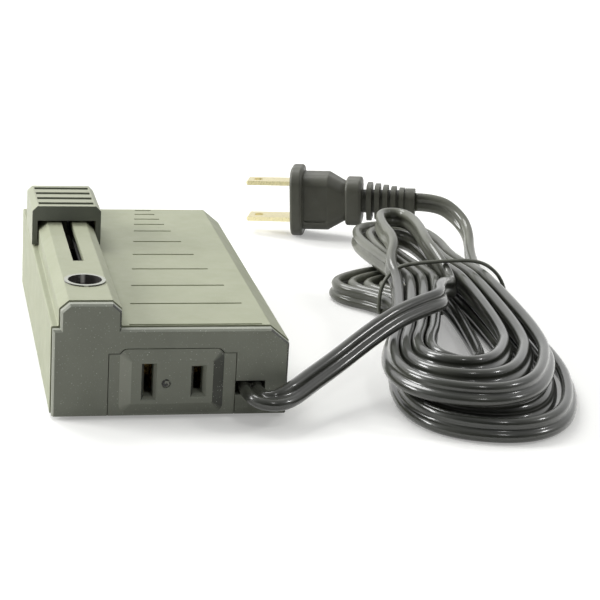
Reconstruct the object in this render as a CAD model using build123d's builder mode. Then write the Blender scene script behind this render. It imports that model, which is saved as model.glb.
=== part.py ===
from build123d import *
import math
import os

os.makedirs("parts", exist_ok=True)

# A foot dimmer with its cord, in millimetres. The case stands on the floor
# at Z = 0, X runs to the right seen from the outlet end, Y runs to the rear
# and the origin is under the middle of the case.

# Case
WIDTH = 61.0
FRONT = -58.4
REAR = 59.6
CASE_BOTTOM = 1.0
TOP = 24.2
WALL = 2.0
CHAMFER_WIDTH = 5.0
CHAMFER_DROP = 4.1
EDGE_RADIUS = 0.4
CORNER_RADIUS = 1.0
FIT = 0.1
OVERLAP = 0.2

# Raised rail that the slider rides on
RAIL_X = -20.7
RAIL_WIDTH = 15.8
RAIL_TOP = 31.0
RAIL_CHAMFER = 2.4
RAIL_CHAMFER_DROP = 2.1
SLOT_WIDTH = 3.0
SLOT_FRONT = -20.8
SLOT_REAR = 45.2

# Graduation on the top: one groove a step, shorter towards the rear
TICK_X = 6.3
TICK_WIDTH = 0.9
TICK_DEPTH = 0.4
TICK_LENGTH = 34.2
TICK_SHRINK = 0.26
TICK_Y = [-54.9, -37.4, -21.3, -5.8, 8.7, 22.1, 33.7, 41.2, 47.2, 52.8, 57.4]

# Front panel and its lip inside the cover
PANEL_THICKNESS = 2.2
PANEL_INSET = 0.3
PANEL_BEVEL = 0.5
SHADOW_GAP = 0.6
LIP_THICKNESS = 1.2
LIP_DEPTH = 2.8

# Outlet insert in the front panel
INSERT_LEFT = -16.0
INSERT_RIGHT = 16.5
INSERT_TOP = 17.5
SEAM = 0.2
BOSS_WIDTH = 26.7
BOSS_HEIGHT = 17.2
BOSS_X = 0.05
BOSS_Z = 10.2
BOSS_RADIUS = 2.2
BOSS_PROUD = 1.2
BOSS_BEVEL = 2.9
BOSS_FACE_RADIUS = 0.5
FLANGE_DEPTH = 1.2
FLANGE_MARGIN = 2.0
SLOT_Z = 10.4
LEAD_IN_WIDTH = 4.0
LEAD_IN_DEPTH = 1.5
NEUTRAL_SLOT = {"x": -5.85, "width": 2.4, "height": 8.8, "lead_in": 9.9}
HOT_SLOT = {"x": 6.85, "width": 2.4, "height": 7.2, "lead_in": 8.6}
CELL_WIDTH = 5.4
CELL_HEIGHT = 10.8
INSERT_BODY_WIDTH = 24.2
INSERT_BODY_REAR = -42.2
DIMPLE_X = -1.5
DIMPLE_Z = 9.9
DIMPLE_DIAMETER = 2.5
DIMPLE_RIM = 0.45
DIMPLE_DEPTH = 0.3

# Brass contacts behind the slots
LEAF_THICKNESS = 0.5
LEAF_GAP = 1.1
LEAF_FLARE = 1.8
LEAF_FRONT = -54.3
LEAF_STRAIGHT = -52.0
LEAF_REAR = -43.0
CONTACT_HEIGHT = 8.0
TAIL_REAR = -38.5
TAIL_WIDTH = 3.0

# Cord entry
CORD_X = 20.6
CORD_Z = 8.1
CORD_WIDTH = 6.4
CORD_THICKNESS = 3.2
NOTCH_RIGHT = 24.4
NOTCH_BOTTOM = 6.2
NOTCH_TOP = 10.0
CLAMP_FRONT = -52.4
CLAMP_REAR = -46.4
CLAMP_WIDTH = 14.6
CLAMP_THICKNESS = 2.7
CLAMP_SCREW_SPACING = 10.4
LEAD_IN_REAR = -45.4

# Floor of the case, its pad and its screws
PLATE_THICKNESS = 2.0
PLATE_TOP = CASE_BOTTOM + PLATE_THICKNESS
PAD_WIDTH = 54.6
PAD_X = -0.4
PAD_LENGTH = 112.0
PAD_Y = 0.6
PAD_RADIUS = 2.0
PAD_HOLE = 7.5
POST_DIAMETER = 6.0
CASE_SCREW_DIAMETER = 2.9
CASE_SCREW_HEAD = 5.6
CASE_SCREW_LENGTH = 12.0
CASE_SCREW_PILOT = 13.0
CASE_SCREW_CROSS = (3.0, 0.6, 0.8)
RAIL_POST = (-23.5, -49.2)
LOW_POSTS = [(-9.8, 51.6), (24.3, -33.6), (23.5, 51.6)]

# Circuit board
BOARD_BOTTOM = 8.0
BOARD_TOP = 9.6
BOARD_LEFT = -26.0
BOARD_RIGHT = 26.5
BOARD_FRONT = -30.0
BOARD_REAR = 43.6
STANDOFF_DIAMETER = 5.0
BOARD_SCREW_AT = [(-23.6, -27.4), (23.6, -26.6), (-23.2, 40.4), (23.2, 40.4)]
BOARD_SCREW_DIAMETER = 2.2
BOARD_SCREW_HEAD = 4.2
BOARD_SCREW_HEAD_HEIGHT = 1.6
BOARD_SCREW_TIP = 4.0
PAN_SLOT_LENGTH = 0.7
PAN_SLOT_WIDTH = 0.14
PAN_SLOT_DEPTH = 0.4

# Slide potentiometer under the rail
POT_WIDTH = 9.0
POT_BOTTOM = 20.2
POT_TOP = 27.2
POT_LID = 1.0
POT_WALL = 0.6
POT_FRONT = -27.8
POT_REAR = 52.2
POT_LID_OVERHANG = 4.0
POT_SCREW_DIAMETER = 2.0
POT_SCREW_HEAD = 3.6
POT_SCREW_HEAD_HEIGHT = 1.2
POT_SCREW_TIP = 29.8
POT_BOSS_DIAMETER = 4.4
POT_SLOT_WIDTH = 2.6
TRACK_THICKNESS = 0.3
TRACK_WIDTH = 5.0
CLEARANCE = 0.3

# Slider knob and the lever that it sits on
KNOB_Y = 29.6
KNOB_LENGTH = 24.0
KNOB_WIDTH = 19.6
KNOB_BOTTOM = 24.6
KNOB_TOP = 35.9
KNOB_LEG = 1.5
KNOB_CEILING = 31.6
KNOB_CHAMFER = 1.45
KNOB_GROOVES = 4
KNOB_GROOVE_PITCH = 5.8
KNOB_GROOVE_WIDTH = 2.3
KNOB_GROOVE_DEPTH = 0.8
KNOB_GROOVE_END = 1.9
LEVER_WIDTH = 2.0
LEVER_LENGTH = 5.0
LEVER_TOP = 34.1
CARRIAGE_LENGTH = 12.0
CARRIAGE_TOP = 25.6

# Pilot lamp under its window in the rail
WINDOW_Y = -39.0
WINDOW_HOLE = 9.8
BEZEL_FLANGE = 10.8
BEZEL_PROUD = 0.35
BEZEL_BORE = 8.8
BEZEL_LEDGE = 7.4
BEZEL_BOTTOM = 27.0
LENS_BOTTOM = 27.8
LENS_TOP = 29.2
LAMP_DIAMETER = 5.6
LAMP_BOTTOM = 14.5
LAMP_TOP = 27.2
LAMP_LEAD_DIAMETER = 0.6

# Parts on the circuit board
SINK_LEFT = -10.0
SINK_RIGHT = 22.0
SINK_FRONT = 15.0
SINK_REAR = 35.0
SINK_THICKNESS = 1.5
SINK_TOP = 20.0
TRIAC_X = 6.1
TRIAC_WIDTH = 10.2
TRIAC_FRONT = 17.5
TRIAC_BODY_LENGTH = 9.0
TRIAC_TAB_LENGTH = 6.4
TRIAC_BODY_HEIGHT = 4.4
TRIAC_TAB_THICKNESS = 1.3
TRIAC_LEG_PITCH = 2.54
TRIAC_LEG_WIDTH = 0.8
TRIAC_LEG_THICKNESS = 0.5
TRIAC_LEG_REACH = 4.6
TRIAC_SCREW_DIAMETER = 3.0
TRIAC_SCREW_HEAD = 5.5
TRIAC_SCREW_HEAD_HEIGHT = 2.2
CHOKE_X = 8.0
CHOKE_Y = -8.0
CHOKE_OUTER = 20.0
CHOKE_INNER = 9.0
CHOKE_HEIGHT = 8.5
CHOKE_ROUNDING = 2.5
FILM_X = -4.0
FILM_Y = 6.5
FILM_LENGTH = 18.0
FILM_WIDTH = 7.0
FILM_HEIGHT = 11.0
DIAC_X = 15.0
DIAC_Y = 7.5
DIAC_DIAMETER = 2.0
DIAC_LENGTH = 4.2
RESISTOR_X = [-11.0, -7.0]
RESISTOR_Y = -20.0
RESISTOR_DIAMETER = 2.5
RESISTOR_LENGTH = 6.4
PART_LEAD_DIAMETER = 0.6
PART_LEAD_REACH = 2.0
TRIMMER_X = 21.0
TRIMMER_Y = -16.0
TRIMMER_SIZE = 6.6
TRIMMER_HEIGHT = 4.8
TRIMMER_ROTOR = 4.6
TRIMMER_ROTOR_HEIGHT = 0.4
FUSE_Y = -10.0
FUSE_LENGTH = 20.0
FUSE_DIAMETER = 5.2
FUSE_Z = 13.4
CLIP_THICKNESS = 0.5
CLIP_LENGTH = 4.4
CLIP_TOP = 15.6

# Wires inside the case, each from its first joint to its last
WIRE_DIAMETER = 2.0
WIRE_NEUTRAL = [
    (19.0, -45.4, 8.1),
    (19.0, -40.5, 8.1),
    (13.0, -34.9, 6.2),
    (2.0, -33.2, 6.0),
    (-5.85, -33.4, 10.4),
    (-5.85, -38.5, 10.4),
]
WIRE_HOT = [
    (22.2, -45.4, 8.1),
    (22.2, -42.0, 8.1),
    (17.0, -37.6, 12.2),
    (6.0, -35.8, 13.6),
    (-10.0, -34.6, 13.7),
    (-20.7, -29.4, 13.4),
    (-20.7, -20.0, 13.4),
]
WIRE_OUTLET = [
    (6.85, -38.5, 10.4),
    (6.85, -33.5, 10.6),
    (6.85, -28.5, 13.0),
    (6.85, -23.6, 13.3),
    (6.85, -23.6, 9.6),
]
LAMP_LEAD_LEFT = [
    (-21.9, -39.0, 14.5),
    (-21.9, -38.8, 11.6),
    (-20.6, -33.5, 11.2),
    (-19.8, -28.0, 11.6),
    (-19.8, -28.0, 9.6),
]
LAMP_LEAD_RIGHT = [
    (-19.5, -39.0, 14.5),
    (-19.5, -38.8, 11.6),
    (-18.6, -33.5, 11.2),
    (-17.5, -28.0, 11.6),
    (-17.5, -28.0, 9.6),
]

# Cord: flat twin in the case, drawn as a round tube of its thickness outside
CORD_DIAMETER = 3.2
CORD_GROOVE = 0.5
CORD_EXIT_Y = -59.4
BEND_SHARE = 0.45
CORD_ROUTE = [
    (20.6, -59.4, 8.1),
    (20.6, -64.8, 8.1),
    (24.0, -68.6, 7.9),
    (29.4, -67.9, 8.2),
    (35.0, -61.0, 9.4),
    (44.5, -50.0, 12.2),
    (56.0, -39.2, 15.6),
    (66.48, -30.7, 17.8),
]

# Hank: height of its layers, and the waist where it is tied
LOW = 3.4
HIGH = 10.6
TOP_LAYER = 17.8
TOP_DROP = 2.3
WAIST = Vector(93.5, 24.6, 0)
WAIST_LIFT = 1.2
WAIST_INNER = 2.47
WAIST_STEP = 3.98
SAMPLE_STEP = 1.5
GAP_WINDOW = 14.0
NEARLY_STRAIGHT = 1e-9

# Entry of the cord: over the near loops' left side and down to the waist
HANK_ENTRY = [
    (75.5, -23.4, 17.8, 39),
    (80.52, -17.43, 16.9, 57.8, -0.25),
    (87.84, -8.12, 13.2, 62.3, -0.3),
    (92.99, 4.11, 11.6, 70.5),
]

# Near loops, by size: 0 is the innermost and 4 the outermost
NEAR_CENTRE = Vector(87.5, -27.4, 0)
NEAR_CENTRE_STEP = Vector(0.03, -1.48, 0)
NEAR_HALF_WIDTH = 9.47
NEAR_WIDTH_STEP = 4.75
NEAR_HALF_LENGTH = 26.77
NEAR_LENGTH_STEP = 5.34
NEAR_TILT = -18.89
NEAR_TILT_STEP = 0.84
NEAR_DESCENT = 60.0
HIGH_SIZES = [3.43, 2.33, 1.21]

# Far loops: one over the top, three in the high layer, four fanned out below
TOP_AIM = 88.0
TOP_REACH = 62.8
TOP_SIDES = (3.5, 19.7)
HIGH_AIM = 92.0
HIGH_REACH = [60.1, 54.9, 49.9]
HIGH_SIDES = [(14.8, 14.1), (11.0, 10.4), (7.2, 6.5)]
HIGH_WAIST_TURNS = (5.2, 5.2)
LOW_TURNS = 4
LOW_AIM = 124.8
LOW_REACH = 26.9
LOW_REACH_STEP = 4.6
LOW_HALF_WIDTH = 5.0
LOW_WIDTH_STEP = 4.43
LOW_WAIST_RIGHT = 4.08
LOW_WAIST_LEFT = 4.99
LOW_WAIST_TURNS = (14.6, 10.3)
HANK_LEAVE = (115.0, 29.0)
LEAVE_HEADING = 91.0

# Tie: a band round the waist
TIE_X = 95.6
TIE_TURN = 8.0
TIE_INSIDE_WIDTH = 43.0
TIE_BOTTOM = 0.3
TIE_TOP = 16.2
TIE_THICKNESS = 0.9
TIE_BAND = 1.4
TIE_TOP_RADIUS = 7.8
TIE_BOTTOM_RADIUS = 4.0

# Cord from the hank to the plug
PLUG_CORD_POINTS = [
    (114.6, 50.0, 4.6),
    (118.9, 73.5, 4.8),
    (122.7, 88.4, 8.6),
    (120.6, 96.2, 12.5),
]

# Plug: on its narrow side, pointing away from the hank
PLUG_FACE = Vector(66.9, 118.4, 12.35)
PLUG_HEADING = -19.0
PLUG_RISE = 4.0
PLUG_LENGTH = 43.0
PLUG_FLANGE = (24.2, 17.0, 4.2)
PLUG_FLANGE_RADIUS = 6.0
PLUG_FLANGE_EDGE = 1.0
PLUG_GRIP = (19.5, 13.6)
PLUG_GRIP_END = 13.0
PLUG_WAIST = (13.0, 11.6)
PLUG_WAIST_AT = 19.0
PLUG_CORNER = 4.0
PLUG_RECESS = (8.0, 13.0, 0.8)
PLUG_RECESS_CORNER = 1.0
PLUG_COLLAR = (16.2, 13.0)
PLUG_COLLAR_END = 24.6
RELIEF_OVERLAP = 1.0
RELIEF_CORNER = 3.0
RIB_START = 26.4
RIB_PITCH = 2.8
RIB_LENGTH = 1.7
RIB_COUNT = 5
RIB_FIRST = (12.6, 10.6)
RIB_LAST = (9.6, 8.2)
RELIEF_CORE = (8.0, 6.6)
RELIEF_END = (9.2, 7.6)
RELIEF_END_LENGTH = 3.4
RELIEF_RUN = 8.0
BLADE_SPACING = 12.7
BLADE_THICKNESS = 1.5
BLADE_LENGTH = 15.9
BLADE_ROOT = 6.0
BLADE_WIDE = 7.9
BLADE_NARROW = 6.35
BLADE_HOLE = 3.0
BLADE_HOLE_AT = 11.9

COVER_FRONT = FRONT + PANEL_THICKNESS + SHADOW_GAP
PANEL_BACK = FRONT + PANEL_THICKNESS
SLOT_Y = (SLOT_FRONT + SLOT_REAR) / 2
SLOT_LENGTH = SLOT_REAR - SLOT_FRONT


def case_section(y, inset, bottom):
    """The case's cross-section at y, drawn in by inset, with its lower edge at bottom."""
    left = -WIDTH / 2
    right = WIDTH / 2
    rail_left = RAIL_X - RAIL_WIDTH / 2
    rail_right = RAIL_X + RAIL_WIDTH / 2
    shoulder = RAIL_TOP - RAIL_CHAMFER_DROP
    with BuildSketch(Plane.XZ.offset(-y)) as section:
        with BuildLine():
            Polyline(
                (left, bottom - inset),
                (left, TOP),
                (rail_left, TOP),
                (rail_left, shoulder),
                (rail_left + RAIL_CHAMFER, RAIL_TOP),
                (rail_right - RAIL_CHAMFER, RAIL_TOP),
                (rail_right, shoulder),
                (rail_right, TOP),
                (right - CHAMFER_WIDTH, TOP),
                (right, TOP - CHAMFER_DROP),
                (right, bottom - inset),
                close=True,
            )
        make_face()
        if inset > 0:
            offset(amount=-inset, kind=Kind.INTERSECTION)
    return section.sketch


def save(part, name):
    """Labels one finished piece and writes its STEP file."""
    part.label = name
    export_step(part, f"parts/{name}.step")


# Top cover: a box open below and in front, with the raised rail
with BuildPart() as top_cover:
    extrude(case_section(COVER_FRONT, 0, CASE_BOTTOM), amount=COVER_FRONT - REAR)
    long_edges = top_cover.edges().filter_by(Axis.Y)
    fillet(long_edges.filter_by_position(Axis.Z, CASE_BOTTOM + WALL, RAIL_TOP), EDGE_RADIUS)
    upright_edges = top_cover.edges().filter_by(Axis.Z)
    fillet(upright_edges.group_by(Axis.Y)[-1].group_by(SortBy.LENGTH)[-2:], CORNER_RADIUS)
    extrude(
        case_section(COVER_FRONT, WALL, CASE_BOTTOM - WALL),
        amount=COVER_FRONT - REAR + WALL,
        mode=Mode.SUBTRACT,
    )
    with BuildSketch(Plane.XY.offset(PLATE_TOP)):
        with Locations(RAIL_POST):
            Circle(POST_DIAMETER / 2)
    extrude(amount=RAIL_TOP - WALL + OVERLAP - PLATE_TOP)
    with BuildSketch(Plane.XY.offset(PLATE_TOP)):
        with Locations(*LOW_POSTS):
            Circle(POST_DIAMETER / 2)
    extrude(amount=TOP - WALL + OVERLAP - PLATE_TOP)
    with BuildSketch(Plane.XY.offset(PLATE_TOP)):
        with Locations(RAIL_POST, *LOW_POSTS):
            Circle(CASE_SCREW_DIAMETER / 2)
    extrude(amount=CASE_SCREW_PILOT - PLATE_TOP, mode=Mode.SUBTRACT)
    pot_screw_at = [
        (RAIL_X, POT_FRONT - POT_LID_OVERHANG / 2),
        (RAIL_X, POT_REAR + POT_LID_OVERHANG / 2),
    ]
    with BuildSketch(Plane.XY.offset(POT_TOP)):
        with Locations(*pot_screw_at):
            Circle(POT_BOSS_DIAMETER / 2)
    extrude(amount=RAIL_TOP - WALL + OVERLAP - POT_TOP)
    with BuildSketch(Plane.XY.offset(POT_TOP)):
        with Locations(*pot_screw_at):
            Circle(POT_SCREW_DIAMETER / 2)
    extrude(amount=POT_SCREW_TIP - POT_TOP, mode=Mode.SUBTRACT)
    with BuildSketch(Plane.XY.offset(RAIL_TOP)):
        with Locations((RAIL_X, SLOT_Y)):
            Rectangle(SLOT_WIDTH, SLOT_LENGTH)
        with Locations((RAIL_X, WINDOW_Y)):
            Circle(WINDOW_HOLE / 2)
    extrude(amount=-WALL - OVERLAP, mode=Mode.SUBTRACT)
    with BuildSketch(Plane.XY.offset(TOP)):
        for y in TICK_Y:
            with Locations((TICK_X, y)):
                Rectangle(TICK_LENGTH - TICK_SHRINK * (y - TICK_Y[0]), TICK_WIDTH)
    extrude(amount=-TICK_DEPTH, mode=Mode.SUBTRACT)
save(top_cover.part, "top_cover")

# Front panel: closes the cover's end, with a lip that slips inside it
with BuildPart() as front_panel:
    extrude(case_section(FRONT, PANEL_INSET, CASE_BOTTOM), amount=-PANEL_THICKNESS)
    face_edges = front_panel.faces().sort_by(Axis.Y)[0].edges()
    chamfer(face_edges.sort_by(Axis.Z)[1:], PANEL_BEVEL)
    lip_inset = WALL + FIT
    extrude(
        case_section(PANEL_BACK, lip_inset, PLATE_TOP + FIT),
        amount=-LIP_DEPTH,
    )
    extrude(
        case_section(PANEL_BACK, lip_inset + LIP_THICKNESS, CASE_BOTTOM),
        amount=-LIP_DEPTH,
        mode=Mode.SUBTRACT,
    )
    with BuildSketch(Plane.XZ.offset(-FRONT)):
        with BuildLine():
            Polyline(
                (INSERT_LEFT - SEAM, 0),
                (INSERT_LEFT - SEAM, INSERT_TOP + SEAM),
                (INSERT_RIGHT + SEAM, INSERT_TOP + SEAM),
                (INSERT_RIGHT + SEAM, 0),
                close=True,
            )
        make_face()
        with Locations((BOSS_X, BOSS_Z)):
            RectangleRounded(BOSS_WIDTH + 2 * SEAM, BOSS_HEIGHT + 2 * SEAM, BOSS_RADIUS)
        with Locations((INSERT_RIGHT, NOTCH_BOTTOM)):
            Rectangle(
                NOTCH_RIGHT - INSERT_RIGHT,
                NOTCH_TOP - NOTCH_BOTTOM,
                align=(Align.MIN, Align.MIN),
            )
    extrude(amount=-PANEL_THICKNESS, mode=Mode.SUBTRACT)
save(front_panel.part, "front_panel")

# Outlet insert: two-slot socket face on a bevelled boss, with a cell for each contact
FACE_Y = FRONT - BOSS_PROUD
with BuildPart() as outlet_insert:
    with BuildSketch(Plane.XZ.offset(-FRONT)):
        with Locations(((INSERT_LEFT + INSERT_RIGHT) / 2, (CASE_BOTTOM + INSERT_TOP) / 2)):
            Rectangle(INSERT_RIGHT - INSERT_LEFT, INSERT_TOP - CASE_BOTTOM)
        with Locations((BOSS_X, BOSS_Z)):
            RectangleRounded(BOSS_WIDTH, BOSS_HEIGHT, BOSS_RADIUS)
    extrude(amount=-PANEL_THICKNESS - FIT)
    with BuildSketch(Plane.XZ.offset(-FRONT)):
        with Locations((BOSS_X, BOSS_Z)):
            RectangleRounded(BOSS_WIDTH, BOSS_HEIGHT, BOSS_RADIUS)
    with BuildSketch(Plane.XZ.offset(-FACE_Y)):
        with Locations((BOSS_X, BOSS_Z)):
            RectangleRounded(
                BOSS_WIDTH - 2 * BOSS_BEVEL,
                BOSS_HEIGHT - 2 * BOSS_BEVEL,
                BOSS_FACE_RADIUS,
            )
    loft()
    flange_y = PANEL_BACK + FIT
    flange_left = INSERT_LEFT - FLANGE_MARGIN
    flange_top = BOSS_Z + BOSS_HEIGHT / 2 + FLANGE_MARGIN
    with BuildSketch(Plane.XZ.offset(-flange_y)):
        with Locations((flange_left, PLATE_TOP + FIT)):
            Rectangle(
                INSERT_RIGHT - flange_left,
                flange_top - PLATE_TOP - FIT,
                align=(Align.MIN, Align.MIN),
            )
    extrude(amount=-FLANGE_DEPTH)
    with BuildSketch(Plane.XZ.offset(-flange_y)):
        with Locations((BOSS_X, PLATE_TOP + FIT)):
            Rectangle(
                INSERT_BODY_WIDTH,
                INSERT_TOP - PLATE_TOP - FIT,
                align=(Align.CENTER, Align.MIN),
            )
    extrude(amount=flange_y - INSERT_BODY_REAR)
    cell_front = flange_y + FLANGE_DEPTH
    for slot in (NEUTRAL_SLOT, HOT_SLOT):
        with BuildSketch(Plane.XZ.offset(-FACE_Y)):
            with Locations((slot["x"], SLOT_Z)):
                Rectangle(LEAD_IN_WIDTH, slot["lead_in"])
        with BuildSketch(Plane.XZ.offset(-FACE_Y - LEAD_IN_DEPTH)):
            with Locations((slot["x"], SLOT_Z)):
                Rectangle(slot["width"], slot["height"])
        loft(mode=Mode.SUBTRACT)
        with BuildSketch(Plane.XZ.offset(-FACE_Y)):
            with Locations((slot["x"], SLOT_Z)):
                Rectangle(slot["width"], slot["height"])
        extrude(amount=FACE_Y - cell_front, mode=Mode.SUBTRACT)
        with BuildSketch(Plane.XZ.offset(-cell_front)):
            with Locations((slot["x"], SLOT_Z)):
                Rectangle(CELL_WIDTH, CELL_HEIGHT)
        extrude(amount=cell_front - INSERT_BODY_REAR, mode=Mode.SUBTRACT)
    with BuildSketch(Plane.XZ.offset(-FACE_Y)):
        with Locations((DIMPLE_X, DIMPLE_Z)):
            Circle(DIMPLE_DIAMETER / 2)
            Circle(DIMPLE_DIAMETER / 2 - DIMPLE_RIM, mode=Mode.SUBTRACT)
    extrude(amount=-DIMPLE_DEPTH, mode=Mode.SUBTRACT)
save(outlet_insert.part, "outlet_insert")


def contact(x):
    """A brass clip of two leaves that grip a blade, with a tail for its wire."""
    with BuildPart() as clip:
        with BuildSketch(Plane.XY.offset(SLOT_Z - CONTACT_HEIGHT / 2)):
            with BuildLine():
                Polyline(
                    (x - LEAF_FLARE, LEAF_FRONT),
                    (x - LEAF_GAP, LEAF_STRAIGHT),
                    (x - LEAF_GAP, LEAF_REAR),
                    (x + LEAF_GAP, LEAF_REAR),
                    (x + LEAF_GAP, LEAF_STRAIGHT),
                    (x + LEAF_FLARE, LEAF_FRONT),
                )
            trace(line_width=LEAF_THICKNESS)
        extrude(amount=CONTACT_HEIGHT)
        with BuildSketch(Plane.XY.offset(SLOT_Z - TAIL_WIDTH / 2)):
            with Locations((x, LEAF_REAR)):
                Rectangle(LEAF_THICKNESS, TAIL_REAR - LEAF_REAR, align=(Align.CENTER, Align.MIN))
        extrude(amount=TAIL_WIDTH)
    return clip.part


save(contact(NEUTRAL_SLOT["x"]), "neutral_contact")
save(contact(HOT_SLOT["x"]), "hot_contact")

# Floor of the case, with stand-offs for the board and a saddle for the cord
with BuildPart() as bottom_plate:
    plate_front = PANEL_BACK + FIT
    plate_rear = REAR - WALL - FIT
    plate_y = (plate_front + plate_rear) / 2
    plate_width = WIDTH - 2 * (WALL + FIT)
    with BuildSketch(Plane.XY.offset(CASE_BOTTOM)):
        with Locations((0, plate_y)):
            Rectangle(plate_width, plate_rear - plate_front)
    extrude(amount=PLATE_THICKNESS)
    with BuildSketch(Plane.XY.offset(PLATE_TOP)):
        with Locations(*BOARD_SCREW_AT):
            Circle(STANDOFF_DIAMETER / 2)
    extrude(amount=BOARD_BOTTOM - PLATE_TOP)
    with BuildSketch(Plane.XY.offset(BOARD_BOTTOM)):
        with Locations(*BOARD_SCREW_AT):
            Circle(BOARD_SCREW_DIAMETER / 2)
    extrude(amount=BOARD_SCREW_TIP - BOARD_BOTTOM, mode=Mode.SUBTRACT)
    saddle_y = (CLAMP_FRONT + CLAMP_REAR) / 2
    saddle_top = CORD_Z - CORD_THICKNESS / 2
    clamp_screw_at = [
        (CORD_X - CLAMP_SCREW_SPACING / 2, saddle_y),
        (CORD_X + CLAMP_SCREW_SPACING / 2, saddle_y),
    ]
    with BuildSketch(Plane.XY.offset(PLATE_TOP)):
        with Locations((CORD_X, saddle_y)):
            Rectangle(CLAMP_WIDTH, CLAMP_REAR - CLAMP_FRONT)
    extrude(amount=saddle_top - PLATE_TOP)
    with BuildSketch(Plane.XY.offset(saddle_top)):
        with Locations(*clamp_screw_at):
            Circle(BOARD_SCREW_DIAMETER / 2)
    extrude(amount=BOARD_SCREW_TIP - saddle_top, mode=Mode.SUBTRACT)
    screw_head_height = (CASE_SCREW_HEAD - CASE_SCREW_DIAMETER) / 2
    with BuildSketch(Plane.XY.offset(CASE_BOTTOM)):
        with Locations(RAIL_POST, *LOW_POSTS):
            Circle(CASE_SCREW_DIAMETER / 2)
    extrude(amount=PLATE_THICKNESS, mode=Mode.SUBTRACT)
    with Locations(*[(x, y, CASE_BOTTOM) for x, y in (RAIL_POST, *LOW_POSTS)]):
        Cone(
            CASE_SCREW_HEAD / 2,
            CASE_SCREW_DIAMETER / 2,
            screw_head_height,
            align=(Align.CENTER, Align.CENTER, Align.MIN),
            mode=Mode.SUBTRACT,
        )
save(bottom_plate.part, "bottom_plate")

# Thin rubber pad under the floor, with holes at the screws
with BuildPart() as base_pad:
    with BuildSketch(Plane.XY):
        with Locations((PAD_X, PAD_Y)):
            RectangleRounded(PAD_WIDTH, PAD_LENGTH, PAD_RADIUS)
        with Locations(RAIL_POST, *LOW_POSTS):
            Circle(PAD_HOLE / 2, mode=Mode.SUBTRACT)
    extrude(amount=CASE_BOTTOM)
save(base_pad.part, "base_pad")

# Four countersunk screws from below into the cover's posts
with BuildPart() as case_screws:
    with Locations(*[(x, y, CASE_BOTTOM) for x, y in (RAIL_POST, *LOW_POSTS)]):
        Cone(
            CASE_SCREW_HEAD / 2,
            CASE_SCREW_DIAMETER / 2,
            screw_head_height,
            align=(Align.CENTER, Align.CENTER, Align.MIN),
        )
        Cylinder(
            CASE_SCREW_DIAMETER / 2,
            CASE_SCREW_LENGTH,
            align=(Align.CENTER, Align.CENTER, Align.MIN),
        )
    with Locations(*[(x, y, CASE_BOTTOM) for x, y in (RAIL_POST, *LOW_POSTS)]):
        for angle in (0, 90):
            Box(
                *CASE_SCREW_CROSS,
                rotation=(0, 0, angle),
                align=(Align.CENTER, Align.CENTER, Align.MIN),
                mode=Mode.SUBTRACT,
            )
save(case_screws.part, "case_screws")


def pan_screws(places, seat, tip, diameter, head, head_height):
    """Pan-head screws that stand on seat and reach down to tip."""
    with BuildPart() as screws:
        with BuildSketch(Plane.XY.offset(tip)):
            with Locations(*places):
                Circle(diameter / 2)
        extrude(amount=seat - tip)
        with BuildSketch(Plane.XY.offset(seat)):
            with Locations(*places):
                Circle(head / 2)
        extrude(amount=head_height)
        with BuildSketch(Plane.XY.offset(seat + head_height)):
            with Locations(*places):
                Rectangle(head * PAN_SLOT_LENGTH, head * PAN_SLOT_WIDTH)
        extrude(amount=-head_height * PAN_SLOT_DEPTH, mode=Mode.SUBTRACT)
    return screws.part


# Circuit board on its stand-offs
with BuildPart() as circuit_board:
    with BuildSketch(Plane.XY.offset(BOARD_BOTTOM)):
        with Locations(((BOARD_LEFT + BOARD_RIGHT) / 2, (BOARD_FRONT + BOARD_REAR) / 2)):
            Rectangle(BOARD_RIGHT - BOARD_LEFT, BOARD_REAR - BOARD_FRONT)
        with Locations(*BOARD_SCREW_AT):
            Circle(BOARD_SCREW_DIAMETER / 2, mode=Mode.SUBTRACT)
    extrude(amount=BOARD_TOP - BOARD_BOTTOM)
save(circuit_board.part, "circuit_board")

board_screws = pan_screws(
    BOARD_SCREW_AT,
    BOARD_TOP,
    BOARD_SCREW_TIP,
    BOARD_SCREW_DIAMETER,
    BOARD_SCREW_HEAD,
    BOARD_SCREW_HEAD_HEIGHT,
)
save(board_screws, "board_screws")

# Clamp bar over the cord, with its two screws
clamp_bottom = CORD_Z + CORD_THICKNESS / 2
with BuildPart() as cord_clamp:
    with BuildSketch(Plane.XY.offset(clamp_bottom)):
        with Locations((CORD_X, saddle_y)):
            Rectangle(CLAMP_WIDTH, CLAMP_REAR - CLAMP_FRONT)
        with Locations(*clamp_screw_at):
            Circle(BOARD_SCREW_DIAMETER / 2, mode=Mode.SUBTRACT)
    extrude(amount=CLAMP_THICKNESS)
save(cord_clamp.part, "cord_clamp")

clamp_screws = pan_screws(
    clamp_screw_at,
    clamp_bottom + CLAMP_THICKNESS,
    BOARD_SCREW_TIP,
    BOARD_SCREW_DIAMETER,
    BOARD_SCREW_HEAD,
    BOARD_SCREW_HEAD_HEIGHT,
)
save(clamp_screws, "clamp_screws")

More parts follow.
